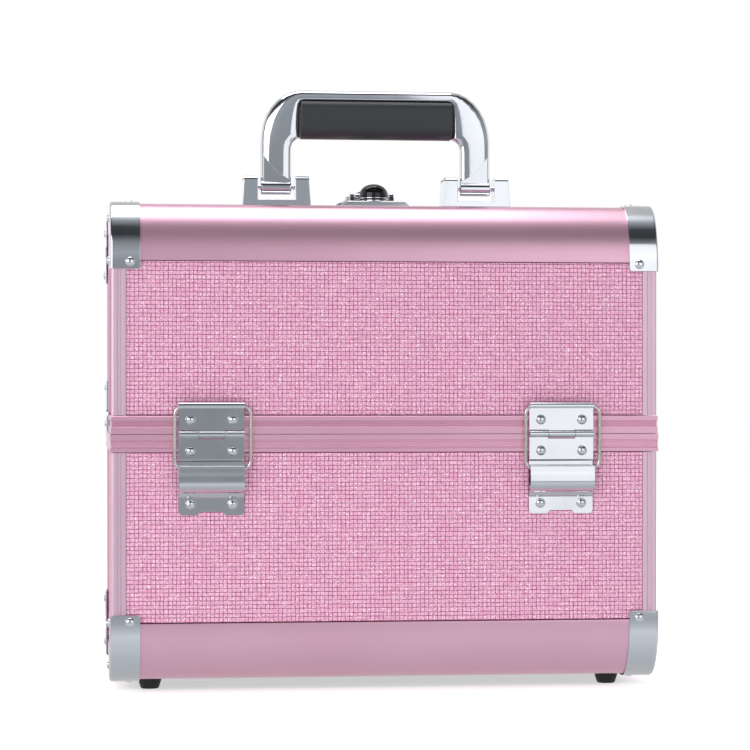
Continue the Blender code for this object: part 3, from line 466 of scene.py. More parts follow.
LAMINATE_FRONT = glitter_laminate("glitter_laminate_upright", 0, 2)
LAMINATE_TOP = glitter_laminate("glitter_laminate_level", 0, 1)
LAMINATE_SIDE = glitter_laminate("glitter_laminate_side", 1, 2)
ALUMINIUM_X = pink_aluminium("pink_anodised_aluminium_across", "X", 0.31, "#F1C2D4", "#EAB4CA")
ALUMINIUM_Y = pink_aluminium("pink_anodised_aluminium_back", "Y", 0.38, "#E9C2D6", "#E1B3CC")
ALUMINIUM_Z = pink_aluminium("pink_anodised_aluminium_upright", "Z", 0.42, "#EFD0DF", "#E6BFD3")
ALUMINIUM_BELT = pink_aluminium("pink_anodised_ribbed_aluminium", "X", 0.36, "#EFBCD0", "#E6ACC4")
CHROME_CAP = plated_metal("chrome_plated_pressed_steel", "#E9EBEF", 0.08, 0.14, 25.0, 0.03)
CHROME_CAST = plated_metal("chrome_plated_die_cast_zinc", "#E2E4E8", 0.06, 0.1, 22.0, 0.06)
NICKEL_STEEL = plated_metal("nickel_plated_strip_steel", "#E4E6E9", 0.1, 0.16, 40.0, 0.02)
WIRE_STEEL = plated_metal("drawn_steel_wire", "#E6DCD8", 0.14, 0.24, 300.0, 0.1)
ZINC_STEEL = plated_metal("zinc_plated_arm_steel", "#B9BDC2", 0.22, 0.4, 120.0, 0.15)
GRIP_PLASTIC = moulded_plastic("satin_moulded_abs", "#2C2F33", 0.42, 0.35, 0.18)
KNOB_PLASTIC = moulded_plastic("polished_moulded_abs", "#151314", 0.1, 0.6, 0.03)
FOOT_RUBBER = moulded_plastic("moulded_rubber", "#161514", 0.62, 0.4, 0.3)
TRAY_ABS = moulded_plastic("grained_tray_abs", "#1D1D20", 0.38, 0.5, 0.35)
BOARD_EDGE = moulded_plastic("wrapped_fibreboard_edge", "#3A3236", 0.7, 0.8, 0.4)
LINING = brushed_lining("brushed_nylon_lining")


# --- curves shared by rails, edging and corner caps, drawn for the front left -------------
def rail_curve(upper, inset, steps=20):
    """From the upright face round to the level one, as (y, z)."""
    level = TOP - RAIL_RISE if upper else BOTTOM + RAIL_RISE
    up = 1 if upper else -1
    points = arc((0, 0), (RAIL_DEPTH - inset, RAIL_RISE - inset), 0, 90, steps)
    return [(-(FRONT - RAIL_DEPTH) - u, level + up * v) for u, v in points]


def base_run(inset):
    """Down the front, under and up the rear."""
    corner = rail_curve(False, inset)
    start = RIM_FOOT - GAP
    return ([(-FRONT + inset, start)] + corner + [(-y, z) for y, z in corner[::-1]]
            + [(FRONT - inset, start)])


def lid_run(inset):
    """Up from the belt and back to the split between the lids."""
    return ([(-FRONT + inset, JOINT + BELT_RISE + GAP)] + rail_curve(True, inset)
            + [(-(PARTING / 2 + SPLIT_RAIL + GAP), TOP - inset)])


# --- boards -------------------------------------------------------------------------------
def lined_board(node, body, laminate, axis, outward):
    """Fibreboard with laminate on the outside and lining on the inside."""
    low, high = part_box(node)
    board = softened(block(node + "_board", low, high), 0.35 * MM)
    board.data.materials.append(laminate)
    pick = "XYZ".index(axis)
    paint(board, BOARD_EDGE, lambda spot, way: abs(way[pick]) < 0.5)
    paint(board, LINING, lambda spot, way: way[pick] * outward < -0.5)
    finish(board, body, nodes=[node])


def make_boards():
    for node, body, laminate, axis, outward in (
            ("base_front_panel", "base", LAMINATE_FRONT, "Y", -1),
            ("base_rear_panel", "base", LAMINATE_FRONT, "Y", 1),
            ("front_lid_front_panel", "front_lid", LAMINATE_FRONT, "Y", -1),
            ("rear_lid_rear_panel", "rear_lid", LAMINATE_FRONT, "Y", 1),
            ("front_lid_top_panel", "front_lid", LAMINATE_TOP, "Z", 1),
            ("rear_lid_top_panel", "rear_lid", LAMINATE_TOP, "Z", 1)):
        lined_board(node, body, laminate, axis, outward)
    low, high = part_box("base_floor_panel")
    floor = softened(block("base_floor_board", low, high), 0.4 * MM)
    floor.data.materials.append(TRAY_ABS)
    paint(floor, LINING, lambda spot, way: way.z > 0.5)
    finish(floor, "base", nodes=["base_floor_panel"])


SIDE_BOARD = 3.5 * MM          # thickness
SIDE_RECESS = 1 * MM           # behind the edging


def side_board(name, body, outline, nodes):
    """A side board for the left, then its twin on the right."""
    for side, x in (("left", -1), ("right", 1)):
        near, far = sorted((x * (SIDE - SIDE_RECESS), x * (SIDE - SIDE_RECESS - SIDE_BOARD)))
        board = softened(extruded(f"{name}_{side}_board", "X", near, far, outline), 0.3 * MM, angle=50)
        board.data.materials.append(LAMINATE_SIDE)
        paint(board, LINING, lambda spot, way: way.x * x < -0.5)
        finish(board, body, nodes=[nodes.format(side)])


EDGE_DEPTH = 9 * MM
# edging section from its outer corner: across the front face, then back down the side, in millimetres
EDGE_SECTION = ((0, 1.3), (0.1, 0.75), (0.35, 0.3), (0.8, 0.05), (1.3, 0), (3.2, 0), (3.5, 0.45), (5.2, 0.45),
                (5.35, 0.8), (5.75, 0.8), (5.9, 0.1), (6.1, 0), (8.1, 0), (8.35, 0.2), (8.35, 0.9), (8, 0.95),
                (8, 9), (0.25, 9), (0, 8.75), (0, 7.2), (0.4, 7.0), (0.4, 6.5), (0, 6.3))


def edging(name, run):
    """An extruded edging bent round the side of the base or of one lid, on the left."""
    runs = [run(depth * MM) for x, depth in EDGE_SECTION]
    rings = []
    for step in range(len(runs[0])):
        rings.append([Vector((-SIDE + x * MM, *line[step]))
                      for (x, depth), line in zip(EDGE_SECTION, runs)])
    piece = swept(name, rings)
    piece.data.materials.append(ALUMINIUM_Z)
    paint(piece, ALUMINIUM_Y,
          lambda spot, way: abs(spot.z - BOTTOM) < EDGE_DEPTH or TOP - spot.z < EDGE_DEPTH)
    return piece


def make_sides():
    plate = EDGE_DEPTH - 1 * MM
    side_board("base", "base", base_run(plate), "base_{}_side")
    outline = lid_run(plate) + [(-(PARTING / 2 + SPLIT_RAIL + GAP), LID_FOOT + BELT_RISE + GAP)]
    side_board("front_lid", "front_lid", outline, "front_lid_{}_side")
    side_board("rear_lid", "rear_lid", [(-y, z) for y, z in outline], "rear_lid_{}_side")
    left = edging("base_left_edging", base_run)
    finish(mirrored(left, "base_right_edging", x=-1), "base", nodes=["base_right_side"],
           angle=28)
    finish(left, "base", nodes=["base_left_side"], angle=28)
    left = edging("front_lid_left_edging", lid_run)
    for name, body, x, y in LID_TWINS:
        finish(mirrored(left, name + "_edging", x, y), body, nodes=[name + "_side"],
               angle=28)
    finish(left, "front_lid", nodes=["front_lid_left_side"], angle=28)


# --- rounded rails ------------------------------------------------------------------------
RAIL_WALL = 1.8 * MM


def make_rails():
    for upper, front, rear in ((False, "base_front", "base_rear"), (True, "front_lid", "rear_lid")):
        outer = rail_curve(upper, 0, 36)
        inner = rail_curve(upper, RAIL_WALL, 36)
        rail = extruded(front + "_rail", "X", -PANEL_X, PANEL_X, outer + inner[::-1])
        softened(rail, 0.35 * MM)
        for piece, stem in ((rail, front), (mirrored(rail, rear + "_rail", y=-1), rear)):
            body = stem if upper else "base"
            finish(piece, body, ALUMINIUM_X, [stem + "_round_rail"])


# --- belts and the rails along the split --------------------------------------------------
# belt sections as (in from the outer face, away from the joint), in millimetres
BASE_BELT = ((0.2, 0), (0.06, 0.05), (0, 0.2), (0, 3.1), (0.12, 3.3), (0.4, 3.5), (0.4, 4.0), (0.15, 4.25),
             (0.15, 4.45), (0.4, 4.7), (0.4, 5.35), (0.15, 5.6), (0.15, 5.8), (0.4, 6.05), (0.4, 6.7),
             (0.15, 6.95), (0.15, 7.15), (0.4, 7.4), (0.4, 7.95), (0.12, 8.1), (0, 8.3), (0, 10.0),
             (0.35, 10.35), (7, 10.35), (7, 0))
LID_BELT = ((0.2, -0.12), (0.06, -0.07), (0, 0.1), (0, 3.9), (0.2, 4.1), (0.55, 4.2), (0.55, 4.5), (0.2, 4.7),
            (0.2, 4.85), (0.55, 5.05), (0.55, 5.5), (0.2, 5.7), (0.2, 5.85), (0.55, 6.05), (0.55, 6.5),
            (0.2, 6.7), (0.2, 6.85), (0.55, 7.05), (0.55, 7.4), (0.2, 7.5), (0, 7.7), (0, 10.0),
            (0.35, 10.35), (6.6, 10.35), (6.6, -0.12))
SPLIT_SECTION = ((0.4, 0), (0.1, 0.1), (0, 0.4), (0, 2.1), (0.35, 2.3), (0.35, 2.75), (0.1, 2.9), (0.1, 3.05),
                 (0.35, 3.2), (0.35, 3.65), (0, 3.85), (0, 6.2), (0.3, 6.5), (6, 6.5), (6, 0))
LID_BELT_SET_IN = 0.4 * MM


def make_belts():
    corners = ((-1, -1), (1, -1), (1, 1), (-1, 1))
    rings = [[Vector((x * (BELT_X - d * MM), y * (BELT_Y - d * MM), RIM_TOP - h * MM)) for d, h in BASE_BELT]
             for x, y in corners]
    belt = swept("base_belt", rings, closed=True)
    belt.data.materials.append(ALUMINIUM_BELT)
    paint(belt, ALUMINIUM_Y, lambda spot, way: abs(way.x) > 0.35)
    finish(belt, "base", nodes=["base_rim"], angle=28)

    wide, deep = BELT_X - LID_BELT_SET_IN, BELT_Y
    split = PARTING / 2

    def ring(x, y, reach):
        return [Vector((x * (wide - d * MM), y * (deep - d * MM) if reach else -split, LID_FOOT + h * MM))
                for d, h in LID_BELT]

    belt = swept("front_lid_belt", [ring(-1, -1, False), ring(-1, -1, True), ring(1, -1, True),
                                    ring(1, -1, False)])
    belt.data.materials.append(ALUMINIUM_BELT)
    paint(belt, ALUMINIUM_Y, lambda spot, way: abs(way.x) > 0.35)
    high = TOP + 0.8 * MM
    foot = LID_FOOT + 10.4 * MM
    rings = [[Vector((x * (wide - d * MM), -split - y * MM, high - d * MM if up else foot))
              for d, y in SPLIT_SECTION]
             for x, up in ((-1, False), (-1, True), (1, True), (1, False))]
    rail = swept("front_lid_split_rail", rings)
    rail.data.materials.append(ALUMINIUM_X)
    paint(rail, ALUMINIUM_Z, lambda spot, way: high - spot.z > 8 * MM)
    for piece, name in ((belt, "rear_lid_belt"), (rail, "rear_lid_split_rail")):
        finish(mirrored(piece, name, y=-1), "rear_lid", nodes=["rear_lid_mouth_frame"],
               angle=28)
        finish(piece, "front_lid", nodes=["front_lid_mouth_frame"], angle=28)


# --- rivets -------------------------------------------------------------------------------
def rivet_shape(name, radius, rise):
    """A domed rivet head standing on its rim, with a short tail let into what it holds."""
    dome = arc((0, 0), (radius, rise), 0, 90, 9)
    profile = [(0, -0.3 * MM), (radius * 0.99, -0.3 * MM)] + dome[:-1] + [(0, rise)]
    return turned(name, profile, 28)


SMALL_RIVET = rivet_shape("small_rivet", 2.2 * MM, 1.1 * MM)
CAP_RIVET = rivet_shape("cap_rivet", 2.8 * MM, 1.4 * MM)
LEAF_RIVET = rivet_shape("leaf_rivet", 2.95 * MM, 2.0 * MM)


def riveted(name, rivet, spots, outward):
    """Rivets of one kind at several spots, facing the same way."""
    pieces = [copied(rivet, f"{name}_{i}", towards(spot, outward)) for i, spot in enumerate(spots)]
    return joined(name, pieces)


# --- split plates -------------------------------------------------------------------------
def make_split_plates():
    low = LID_FOOT + 0.4 * MM
    belt = LID_FOOT + 10.1 * MM
    rise = JOINT + 31.7 * MM
    near, rail, reach, fillet = 0.5 * MM, 6.3 * MM, 17.7 * MM, 4.6 * MM
    outline = [(-near, rise), (-near, low), (-reach, low), (-reach, belt)]
    outline += arc((-rail - fillet, belt + fillet), (fillet, fillet), 270, 360, 6)
    outline += [(-rail, rise)]
    face = -(BELT_X + 1.1 * MM)
    plate = extruded("front_lid_left_split_plate", "X", face, -(BELT_X - 0.6 * MM), outline)
    plate = softened(plate, 0.3 * MM, 3, 50)
    heads = riveted("split_rivets", SMALL_RIVET,
                    [(face, -3.4 * MM, JOINT + 27.5 * MM), (face, -3.6 * MM, JOINT + 5.4 * MM),
                     (face, -14 * MM, JOINT + 5.4 * MM)], (-1, 0, 0))
    plate = joined("front_lid_left_split_plate", [plate, heads])
    for name, body, x, y in LID_TWINS:
        finish(mirrored(plate, name + "_split_plate", x, y), body, CHROME_CAP,
               [body + "_mouth_frame"])
    finish(plate, "front_lid", CHROME_CAP, ["front_lid_mouth_frame"])


# --- corner caps --------------------------------------------------------------------------
CAP_SKIN = 0.9 * MM
CAP_OVER = CAP_FACE - SIDE              # outside of a cap beyond the edging
CAP_INSIDE = SIDE - 16.5 * MM
CAP_LEG = 39 * MM
CAP_LEG_BACK = 34 * MM
CAP_FLANGE = 17 * MM
CAP_THROAT = 6 * MM
CAP_RIVET_X = 149.4 * MM
HOLLOW_PAST = 5 * MM                    # the hollow runs on past the sheet's open edges


def cap_outline(upper, over):
    """Down the front leg and round to the end of the level one, outside the edging by so much."""
    level, up = (TOP, -1) if upper else (BOTTOM, 1)
    return ([(-(FRONT + over), level + up * CAP_LEG)] + rail_curve(upper, -over, 18)
            + [(-(FRONT - CAP_LEG_BACK), level - up * over)])


def corner_cap(name, upper):
    """A cap pressed from one sheet for the front left: a skin over the corner and a flange on the side."""
    level, up = (TOP, -1) if upper else (BOTTOM, 1)
    corner = (FRONT - CAP_FLANGE - CAP_THROAT, CAP_FLANGE + CAP_THROAT)
    throat = arc(corner, (CAP_THROAT, -CAP_THROAT), 90, 0, 8)
    inner = [(-(FRONT - CAP_LEG_BACK), level + up * CAP_FLANGE)] + [(-y, level + up * z) for y, z in throat]
    inner += [(-(FRONT - CAP_FLANGE), level + up * CAP_LEG)]
    cap = extruded(name, "X", -CAP_FACE, -CAP_INSIDE, cap_outline(upper, CAP_OVER) + inner)
    leg_end = level + up * CAP_LEG
    back_end = -(FRONT - CAP_LEG_BACK)

    def free_corner(a, b):
        along_y = abs(a.z - leg_end) < GAP and abs(b.z - leg_end) < GAP and abs(a.x - b.x) < GAP
        along_z = abs(a.y - back_end) < GAP and abs(b.y - back_end) < GAP and abs(a.x - b.x) < GAP
        return (along_y or along_z) and a.x > -CAP_INSIDE - GAP

    def outer_edge(a, b):
        line = [Vector(spot) for spot in cap_outline(upper, CAP_OVER)]
        skin = all(min((p.yz - spot).length for spot in line) < 0.05 * MM for p in (a, b))
        return skin and a.x < -CAP_FACE + GAP and b.x < -CAP_FACE + GAP

    edit(cap)
    pick_edges(cap, free_corner)
    bpy.ops.mesh.bevel(offset=1.6 * MM, segments=4)
    bpy.ops.mesh.select_all(action="DESELECT")
    pick_edges(cap, outer_edge)
    bpy.ops.mesh.bevel(offset=1.9 * MM, segments=6)
    leave()
    hollow = cap_outline(upper, CAP_OVER - CAP_SKIN)
    hollow[0] = (hollow[0][0], leg_end + up * HOLLOW_PAST)
    hollow[-1] = (back_end + HOLLOW_PAST, hollow[-1][1])
    hollow += [(back_end + HOLLOW_PAST, leg_end + up * HOLLOW_PAST)]
    combined(cap, extruded("cap_hollow", "X", -CAP_FACE + CAP_SKIN, -CAP_INSIDE + HOLLOW_PAST, hollow))
    softened(cap, 0.22 * MM, 2, 40)
    front_spots = [(-CAP_RIVET_X, -(FRONT + CAP_OVER), leg_end - up * 4 * MM)]
    level_spots = [(-CAP_RIVET_X, back_end - 4.5 * MM, level - up * CAP_OVER)]
    side_spots = [(-CAP_FACE, -(FRONT - 8 * MM), leg_end - up * 5 * MM),
                  (-CAP_FACE, back_end - 5 * MM, level + up * 8 * MM)]
    spots = [riveted("cap_front_rivet", CAP_RIVET, front_spots, (0, -1, 0)),
             riveted("cap_top_rivet", CAP_RIVET, level_spots, (0, 0, -up)),
             riveted("cap_side_rivets", CAP_RIVET, side_spots, (-1, 0, 0))]
    return joined(name, [cap] + spots)


def make_caps():
    for upper, ends in ((False, (("base_front", "base", 1), ("base_rear", "base", -1))),
                        (True, (("front_lid", "front_lid", 1), ("rear_lid", "rear_lid", -1)))):
        cap = corner_cap("cap_pattern", upper)
        for stem, body, y in ends:
            for side, x in (("left", 1), ("right", -1)):
                name = f"{stem}_{side}_corner"
                finish(mirrored(cap, name + "_cap", x, y), body, CHROME_CAP, [name])
        bpy.data.objects.remove(cap)


# --- feet ---------------------------------------------------------------------------------
def make_feet():
    for end in ("front", "rear"):
        for side in ("left", "right"):
            node = f"foot_{end}_{side}"
            low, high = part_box(node)
            top = (high.x - low.x) / 2
            tip = top * 0.74
            profile = [(0, low.z), (tip * 0.55, low.z), (tip * 0.62, low.z + 0.5 * MM), (tip * 0.9, low.z),
                       (tip, low.z + 0.5 * MM), (top * 0.97, high.z - 1.2 * MM), (top, high.z - 0.9 * MM),
                       (top, high.z), (0, high.z)]
            foot = turned(node + "_bumper", profile, 36)
            foot.data.transform(Matrix.Translation(((low.x + high.x) / 2, (low.y + high.y) / 2, 0)))
            finish(foot, "base", FOOT_RUBBER, [node])


# --- hinges -------------------------------------------------------------------------------
# sections are drawn as (a, b): a inwards and b upwards from the hinge pin, in millimetres
KNUCKLE = 2.05
MIDDLE_HALF = 7.65
CURL_RISE = 16.4
RIVET_OUT = 12.2
LEAF_FACE = 1.0
FLANGE_FACE = 3.0
LEAF_FOOT = -46.8
LEAF_ROUNDING = 0.13 * MM


def from_pin(points):
    return [(HINGE.y + a * MM, HINGE.z + b * MM) for a, b in points]


PIN, CURL = from_pin([(0, 0), (0, CURL_RISE)])


def eased(points, steps=4):
    """A smooth line through points."""
    line = []
    padded = [points[0]] + list(points) + [points[-1]]
    for p, q, r, s in zip(padded, padded[1:], padded[2:], padded[3:]):
        for i in range(steps):
            t = i / steps
            line.append(tuple(0.5 * (2 * b + (c - a) * t + (2 * a - 5 * b + 4 * c - d) * t * t
                                     + (3 * b - a - 3 * c + d) * t ** 3) for a, b, c, d in zip(p, q, r, s)))
    return line + [points[-1]]


def rod(name, centre, radius, low, high, sides=28):
    return extruded(name, "X", low, high, circle(centre, radius, sides))


def hinge_base_leaf(name):
    """The lower leaf: a plate over the belt, a stepped strip on the panel and a bulged keeper."""
    outer = eased([(3.0, -36.9), (1.9, -36.1), (0.3, -34.3), (-1.7, -32.5), (-3.2, -30.9), (-4.0, -28.8),
                   (-4.1, -26.2), (-3.95, -23.0), (-3.3, -19.6)])
    lip = arc((-2.75, -18.9), (0.62, 0.62), 200, -20, 8)
    inner = eased([(-2.35, -19.8), (-2.95, -23.0), (-3.1, -26.2), (-3.0, -28.4), (-2.4, -30.2), (-1.0, -31.8),
                   (0.4, -33.4)])
    outline = ([(LEAF_FACE, 0), (2.2, 0), (2.2, -11.6), (4.0, -11.6), (4.0, LEAF_FOOT),
                (FLANGE_FACE, LEAF_FOOT)]
               + outer + lip + inner + [(FLANGE_FACE, -33.4), (FLANGE_FACE, -15.9), (1.9, -15.9),
                                        (1.2, -15.7), (0.75, -15.1), (0.75, -14.5), (LEAF_FACE, -14.1)])
    leaf = extruded(name, "X", -LEAF_HALF, LEAF_HALF, from_pin(outline))
    middle = MIDDLE_HALF * MM + GAP
    for way in (-1, 1):
        near, far = sorted((way * middle, way * LEAF_HALF))
        combined(leaf, rod("knuckle", PIN, KNUCKLE * MM, near, far), "UNION")
    combined(leaf, block("notch", (-middle, HINGE.y - 4 * MM, HINGE.z - 2.9 * MM),
                         (middle, HINGE.y + 4 * MM, HINGE.z + 3 * MM)))
    foot = HINGE.z + LEAF_FOOT * MM
    tab = [(-9 * MM, foot - MM), (9 * MM, foot - MM), (8 * MM, foot + 0.1 * MM), (6.4 * MM, foot + 1.9 * MM),
           (-6.4 * MM, foot + 1.9 * MM), (-8 * MM, foot + 0.1 * MM)]
    combined(leaf, extruded("tab", "Y", HINGE.y - 9 * MM, HINGE.y + 9 * MM, tab))
    for way in (-1, 1):
        for start, stop in ((9.2, 11.6), (12.3, 16.2)):
            low, high = sorted((way * start * MM, way * stop * MM))
            combined(leaf, block("slot", (low, HINGE.y - 3.4 * MM, HINGE.z - 34.2 * MM),
                                 (high, HINGE.y + 1.2 * MM, HINGE.z - 33.4 * MM)))
    edit(leaf)
    pick_edges(leaf, lambda a, b: (abs(abs(a.x) - LEAF_HALF) < GAP and abs(a.x - b.x) < GAP / 3
                                   and a.z < foot + 0.2 * MM and b.z < foot + 0.2 * MM))
    bpy.ops.mesh.bevel(offset=2.2 * MM, segments=5)
    leave()
    softened(leaf, LEAF_ROUNDING, 2, 38)
    combined(leaf, rod("pin", PIN, 0.95 * MM, -middle - MM, middle + MM, 16), "UNION")
    return leaf


def hinge_lid_leaf(name):
    """The upper leaf: a plate whose top is curled round the wire and whose tongue turns on the pin."""
    middle = MIDDLE_HALF * MM
    outline = from_pin([(LEAF_FACE, 2.4), (2.2, 2.4), (2.2, 15.2), (LEAF_FACE, 15.2)])
    plate = extruded(name, "X", -LEAF_HALF, LEAF_HALF, outline)
    outline = from_pin([(LEAF_FACE, 0), (2.2, 0), (2.2, 3.4), (LEAF_FACE, 3.4)])
    combined(plate, extruded("tongue", "X", -middle, middle, outline), "UNION")
    combined(plate, rod("knuckle", PIN, KNUCKLE * MM, -middle, middle), "UNION")
    combined(plate, rod("bore", PIN, 1.35 * MM, -LEAF_HALF, LEAF_HALF))
    combined(plate, rod("curl", CURL, 2.25 * MM, -LEAF_HALF, LEAF_HALF, 36), "UNION")
    combined(plate, rod("wire_way", CURL, 1.25 * MM, -2 * LEAF_HALF, 2 * LEAF_HALF))
    edge = from_pin([(-2.6, 13.9), (0.4, 13.9), (0.4, 14.95), (-2.6, 14.95)])
    combined(plate, extruded("curl_edge", "X", -2 * LEAF_HALF, 2 * LEAF_HALF, edge))
    return softened(plate, LEAF_ROUNDING, 2, 38)


def wire_stay(name):
    """A rounded loop of wire hanging from the lid leaf's curl, leaning in towards the case."""
    half, bend, reach, lean = LEAF_HALF + 2.95 * MM, 5 * MM, 36.7 * MM, math.radians(2)
    path = []
    for x, drop, start in ((half, 0, 90), (half, -reach, 0), (-half, -reach, -90), (-half, 0, 180)):
        middle = (x - math.copysign(bend, x), drop - bend if drop == 0 else drop + bend)
        path += arc(middle, (bend, bend), start, start - 90, 7)
    path = [Vector(spot) for spot in path]
    rings = []
    for i, spot in enumerate(path):
        ahead, behind = path[(i + 1) % len(path)], path[i - 1]
        along = (ahead - behind).normalized()
        outward = Vector((-along.y, along.x))
        ring = []
        for u, v in circle((0, 0), 1.05 * MM, 14):
            flat = spot + outward * u
            a = -flat.y * math.sin(lean) + v * math.cos(lean)
            b = CURL_RISE * MM + flat.y * math.cos(lean) + v * math.sin(lean)
            ring.append(Vector((flat.x + 0.7 * MM, HINGE.y + a, HINGE.z + b)))
        rings.append(ring)
    return swept(name, rings, closed=True)


def riveted_leaf(name, pattern, spots, shift):
    """A leaf carried to its place with its rivets in it."""
    rivets = riveted("leaf_rivets", LEAF_RIVET, spots, (0, -1, 0))
    rivets.data.transform(shift)
    if shift.determinant() < 0:
        rivets.data.flip_normals()
    return joined(name, [copied(pattern, name, shift), rivets])


def make_hinges():
    base_leaf = hinge_base_leaf("leaf_pattern")
    lid_leaf = hinge_lid_leaf("lid_leaf_pattern")
    stay = wire_stay("stay_pattern")
    leaf_y, flange_y = HINGE.y + LEAF_FACE * MM, HINGE.y + FLANGE_FACE * MM
    lower = [(way * RIVET_OUT * MM, face, HINGE.z + b * MM) for way in (-1, 1)
             for face, b in ((leaf_y, -9.8), (flange_y, -40.6))]
    upper = [(way * RIVET_OUT * MM, leaf_y, HINGE.z + 8.3 * MM) for way in (-1, 1)]
    for end, y in (("front", 1), ("rear", -1)):
        for side, x in (("left", -1), ("right", 1)):
            stem = f"{end}_{side}_hinge"
            shift = Matrix.Diagonal((1, y, 1, 1)) @ Matrix.Translation((x * HINGE_X, 0, 0))
            leaf = riveted_leaf(stem + "_lower", base_leaf, lower, shift)
            finish(leaf, "base", NICKEL_STEEL, [stem + "_base_leaf"], 35)
            leaf = riveted_leaf(stem + "_upper", lid_leaf, upper, shift)
            finish(leaf, end + "_lid", NICKEL_STEEL, [stem + "_lid_leaf"], 35)
            finish(copied(stay, f"{end}_{side}_wire_stay", shift), end + "_stays", WIRE_STEEL,
                   [f"{end}_{side}_stay"], 60)
    for piece in (base_leaf, lid_leaf, stay):
        bpy.data.objects.remove(piece)


# --- trays and arms -----------------------------------------------------------------------
ARM_LOW, ARM_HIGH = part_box("front_right_arm")
TRAY_HALF = ARM_LOW.x - 1.8 * MM
TRAY_WALL = 1.8 * MM
CELLS = 4


def make_tray(end, level):
    """A moulded tray with four rounded wells, standing on its own pivots."""
    node = f"{end}_{level}_tray"
    low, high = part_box(node)
    fillet = 5 * MM
    outline = [(low.y, high.z)] + arc((low.y + fillet, low.z + fillet), (fillet, fillet), 180, 270, 6)
    outline += arc((high.y - fillet, low.z + fillet), (fillet, fillet), 270, 360, 6) + [(high.y, high.z)]
    tray = extruded(node + "_moulding", "X", -TRAY_HALF, TRAY_HALF, outline)
    pitch = (2 * TRAY_HALF - TRAY_WALL) / CELLS
    for index in range(CELLS):
        start = -TRAY_HALF + TRAY_WALL + index * pitch
        well = block("well", (start, low.y + TRAY_WALL, low.z + TRAY_WALL),
                     (start + pitch - TRAY_WALL, high.y - TRAY_WALL, high.z + 6 * MM))
        edit(well)
        pick_edges(well, lambda a, b: not (a.z > high.z and b.z > high.z))
        bpy.ops.mesh.bevel(offset=3.2 * MM, segments=4)
        leave()
        combined(tray, well)
    softened(tray, 0.45 * MM, 2, 50)
    tray.data.materials.append(TRAY_ABS)
    paint(tray, LINING, lambda spot, way: way.z > 0.95 and spot.z < low.z + 2.5 * MM)
    finish(tray, node, nodes=[node])
    pins = []
    lid_pivot = PIVOT[f"{end}_{level}_tray_pivot"]
    share = (lid_pivot.y - PIVOT[end + "_lid_hinge"].y, lid_pivot.z - PIVOT[end + "_lid_hinge"].z)
    foot = PIVOT[end + "_arms_pivot"]
    arm_hole = (foot.y + share[0], foot.z + share[1])
    rods = (((lid_pivot.y, lid_pivot.z), 3.9, TRAY_HALF - 0.5 * MM, high.x),
            (arm_hole, 2.0, TRAY_HALF - 0.5 * MM, TRAY_HALF + 3.9 * MM),
            (arm_hole, 3.1, TRAY_HALF + 3.6 * MM, TRAY_HALF + 4.7 * MM))
    for x in (-1, 1):
        for centre, radius, start, stop in rods:
            near, far = sorted((x * start, x * stop))
            pins.append(softened(rod("pin", centre, radius * MM, near, far), 0.3 * MM, 2, 50))
    finish(joined(node + "_pivot_rivets", pins), node, ZINC_STEEL, [node])


def make_arms():
    """Flat steel arms with round ends, two stud holes and a rivet that turns in the rim."""
    foot = PIVOT["front_arms_pivot"]
    reach = PIVOT["front_upper_tray_pivot"] - PIVOT["front_lid_hinge"]
    tip = (foot.y + reach.y, foot.z + reach.z)
    turn = math.degrees(math.atan2(reach.z, reach.y))
    width = 5 * MM
    plate = (ARM_LOW.x, ARM_LOW.x + 1.5 * MM)
    outline = arc(tip, (width, width), turn - 90, turn + 90, 12)
    outline += arc((foot.y, foot.z), (width, width), turn + 90, turn + 270, 12)
    arm = extruded("front_right_arm_strip", "X", plate[0], plate[1], outline)
    for share in (1, 0.5):
        hole = (foot.y + reach.y * share, foot.z + reach.z * share)
        combined(arm, rod("hole", hole, 2.3 * MM, plate[0] - MM, plate[1] + MM))
    softened(arm, 0.3 * MM, 2, 50)
    rivet = rod("rim_rivet", (foot.y, foot.z), 2.5 * MM, plate[0] + 0.7 * MM, ARM_HIGH.x)
    softened(rivet, 0.3 * MM, 2, 50)
    head = copied(LEAF_RIVET, "arm_head", towards((plate[0] + 0.3 * MM, foot.y, foot.z), (-1, 0, 0)))
    arm = joined("front_right_arm_strip", [arm, rivet, head])
    for name, body, x, y in (("front_left", "front_arms", -1, 1), ("rear_right", "rear_arms", 1, -1),
                             ("rear_left", "rear_arms", -1, -1)):
        finish(mirrored(arm, name + "_arm_strip", x, y), body, ZINC_STEEL, [name + "_arm"])
    finish(arm, "front_arms", ZINC_STEEL, ["front_right_arm"])


# --- handle -------------------------------------------------------------------------------
HANDLE = PIVOT["handle_fold"]
# half of the frame from the right foot to the middle of the bar: its outer and its inner edge, each as
# millimetres out from the middle and above the lids
FRAME_STATIONS = [((69.9, 11.6), (51.3, 11.6)), ((69.9, 15), (51.3, 15)), ((69.9, 22), (51.3, 22)),
                  ((69.9, 29), (51.3, 29)), ((69.9, 34.5), (51.3, 34.5)), ((69.9, 38.4), (51.1, 37.8)),
                  ((69.8, 42.3), (50.2, 40.6)),
                  ((69.4, 46.4), (48.6, 42.1)), ((68.5, 51.0), (46.2, 43.2)), ((66.7, 56.0), (46.1, 48.0)),
                  ((63.9, 61.0), (46.1, 53.5)), ((60.2, 65.4), (46.1, 58.5)), ((55.8, 68.9), (46.1, 62.4)),
                  ((51.0, 71.1), (45.5, 64.6)), ((45.6, 72.0), (43.6, 65.3)), ((38, 72.0), (37, 65.3)),
                  ((20, 72.0), (20, 65.3)), ((0, 72.0), (0, 65.3))]
FRAME_HALF = 4.5               # mm, half the depth
FRAME_SIDES = 28
# the flat cut low on each leg ends along this line
CREASE = ((71, 37), (68.6, 33.2), (65.5, 28.8), (61.5, 24.2), (57.5, 20.8), (54, 18.7), (50, 17.2), (50, 4),
          (71, 4))


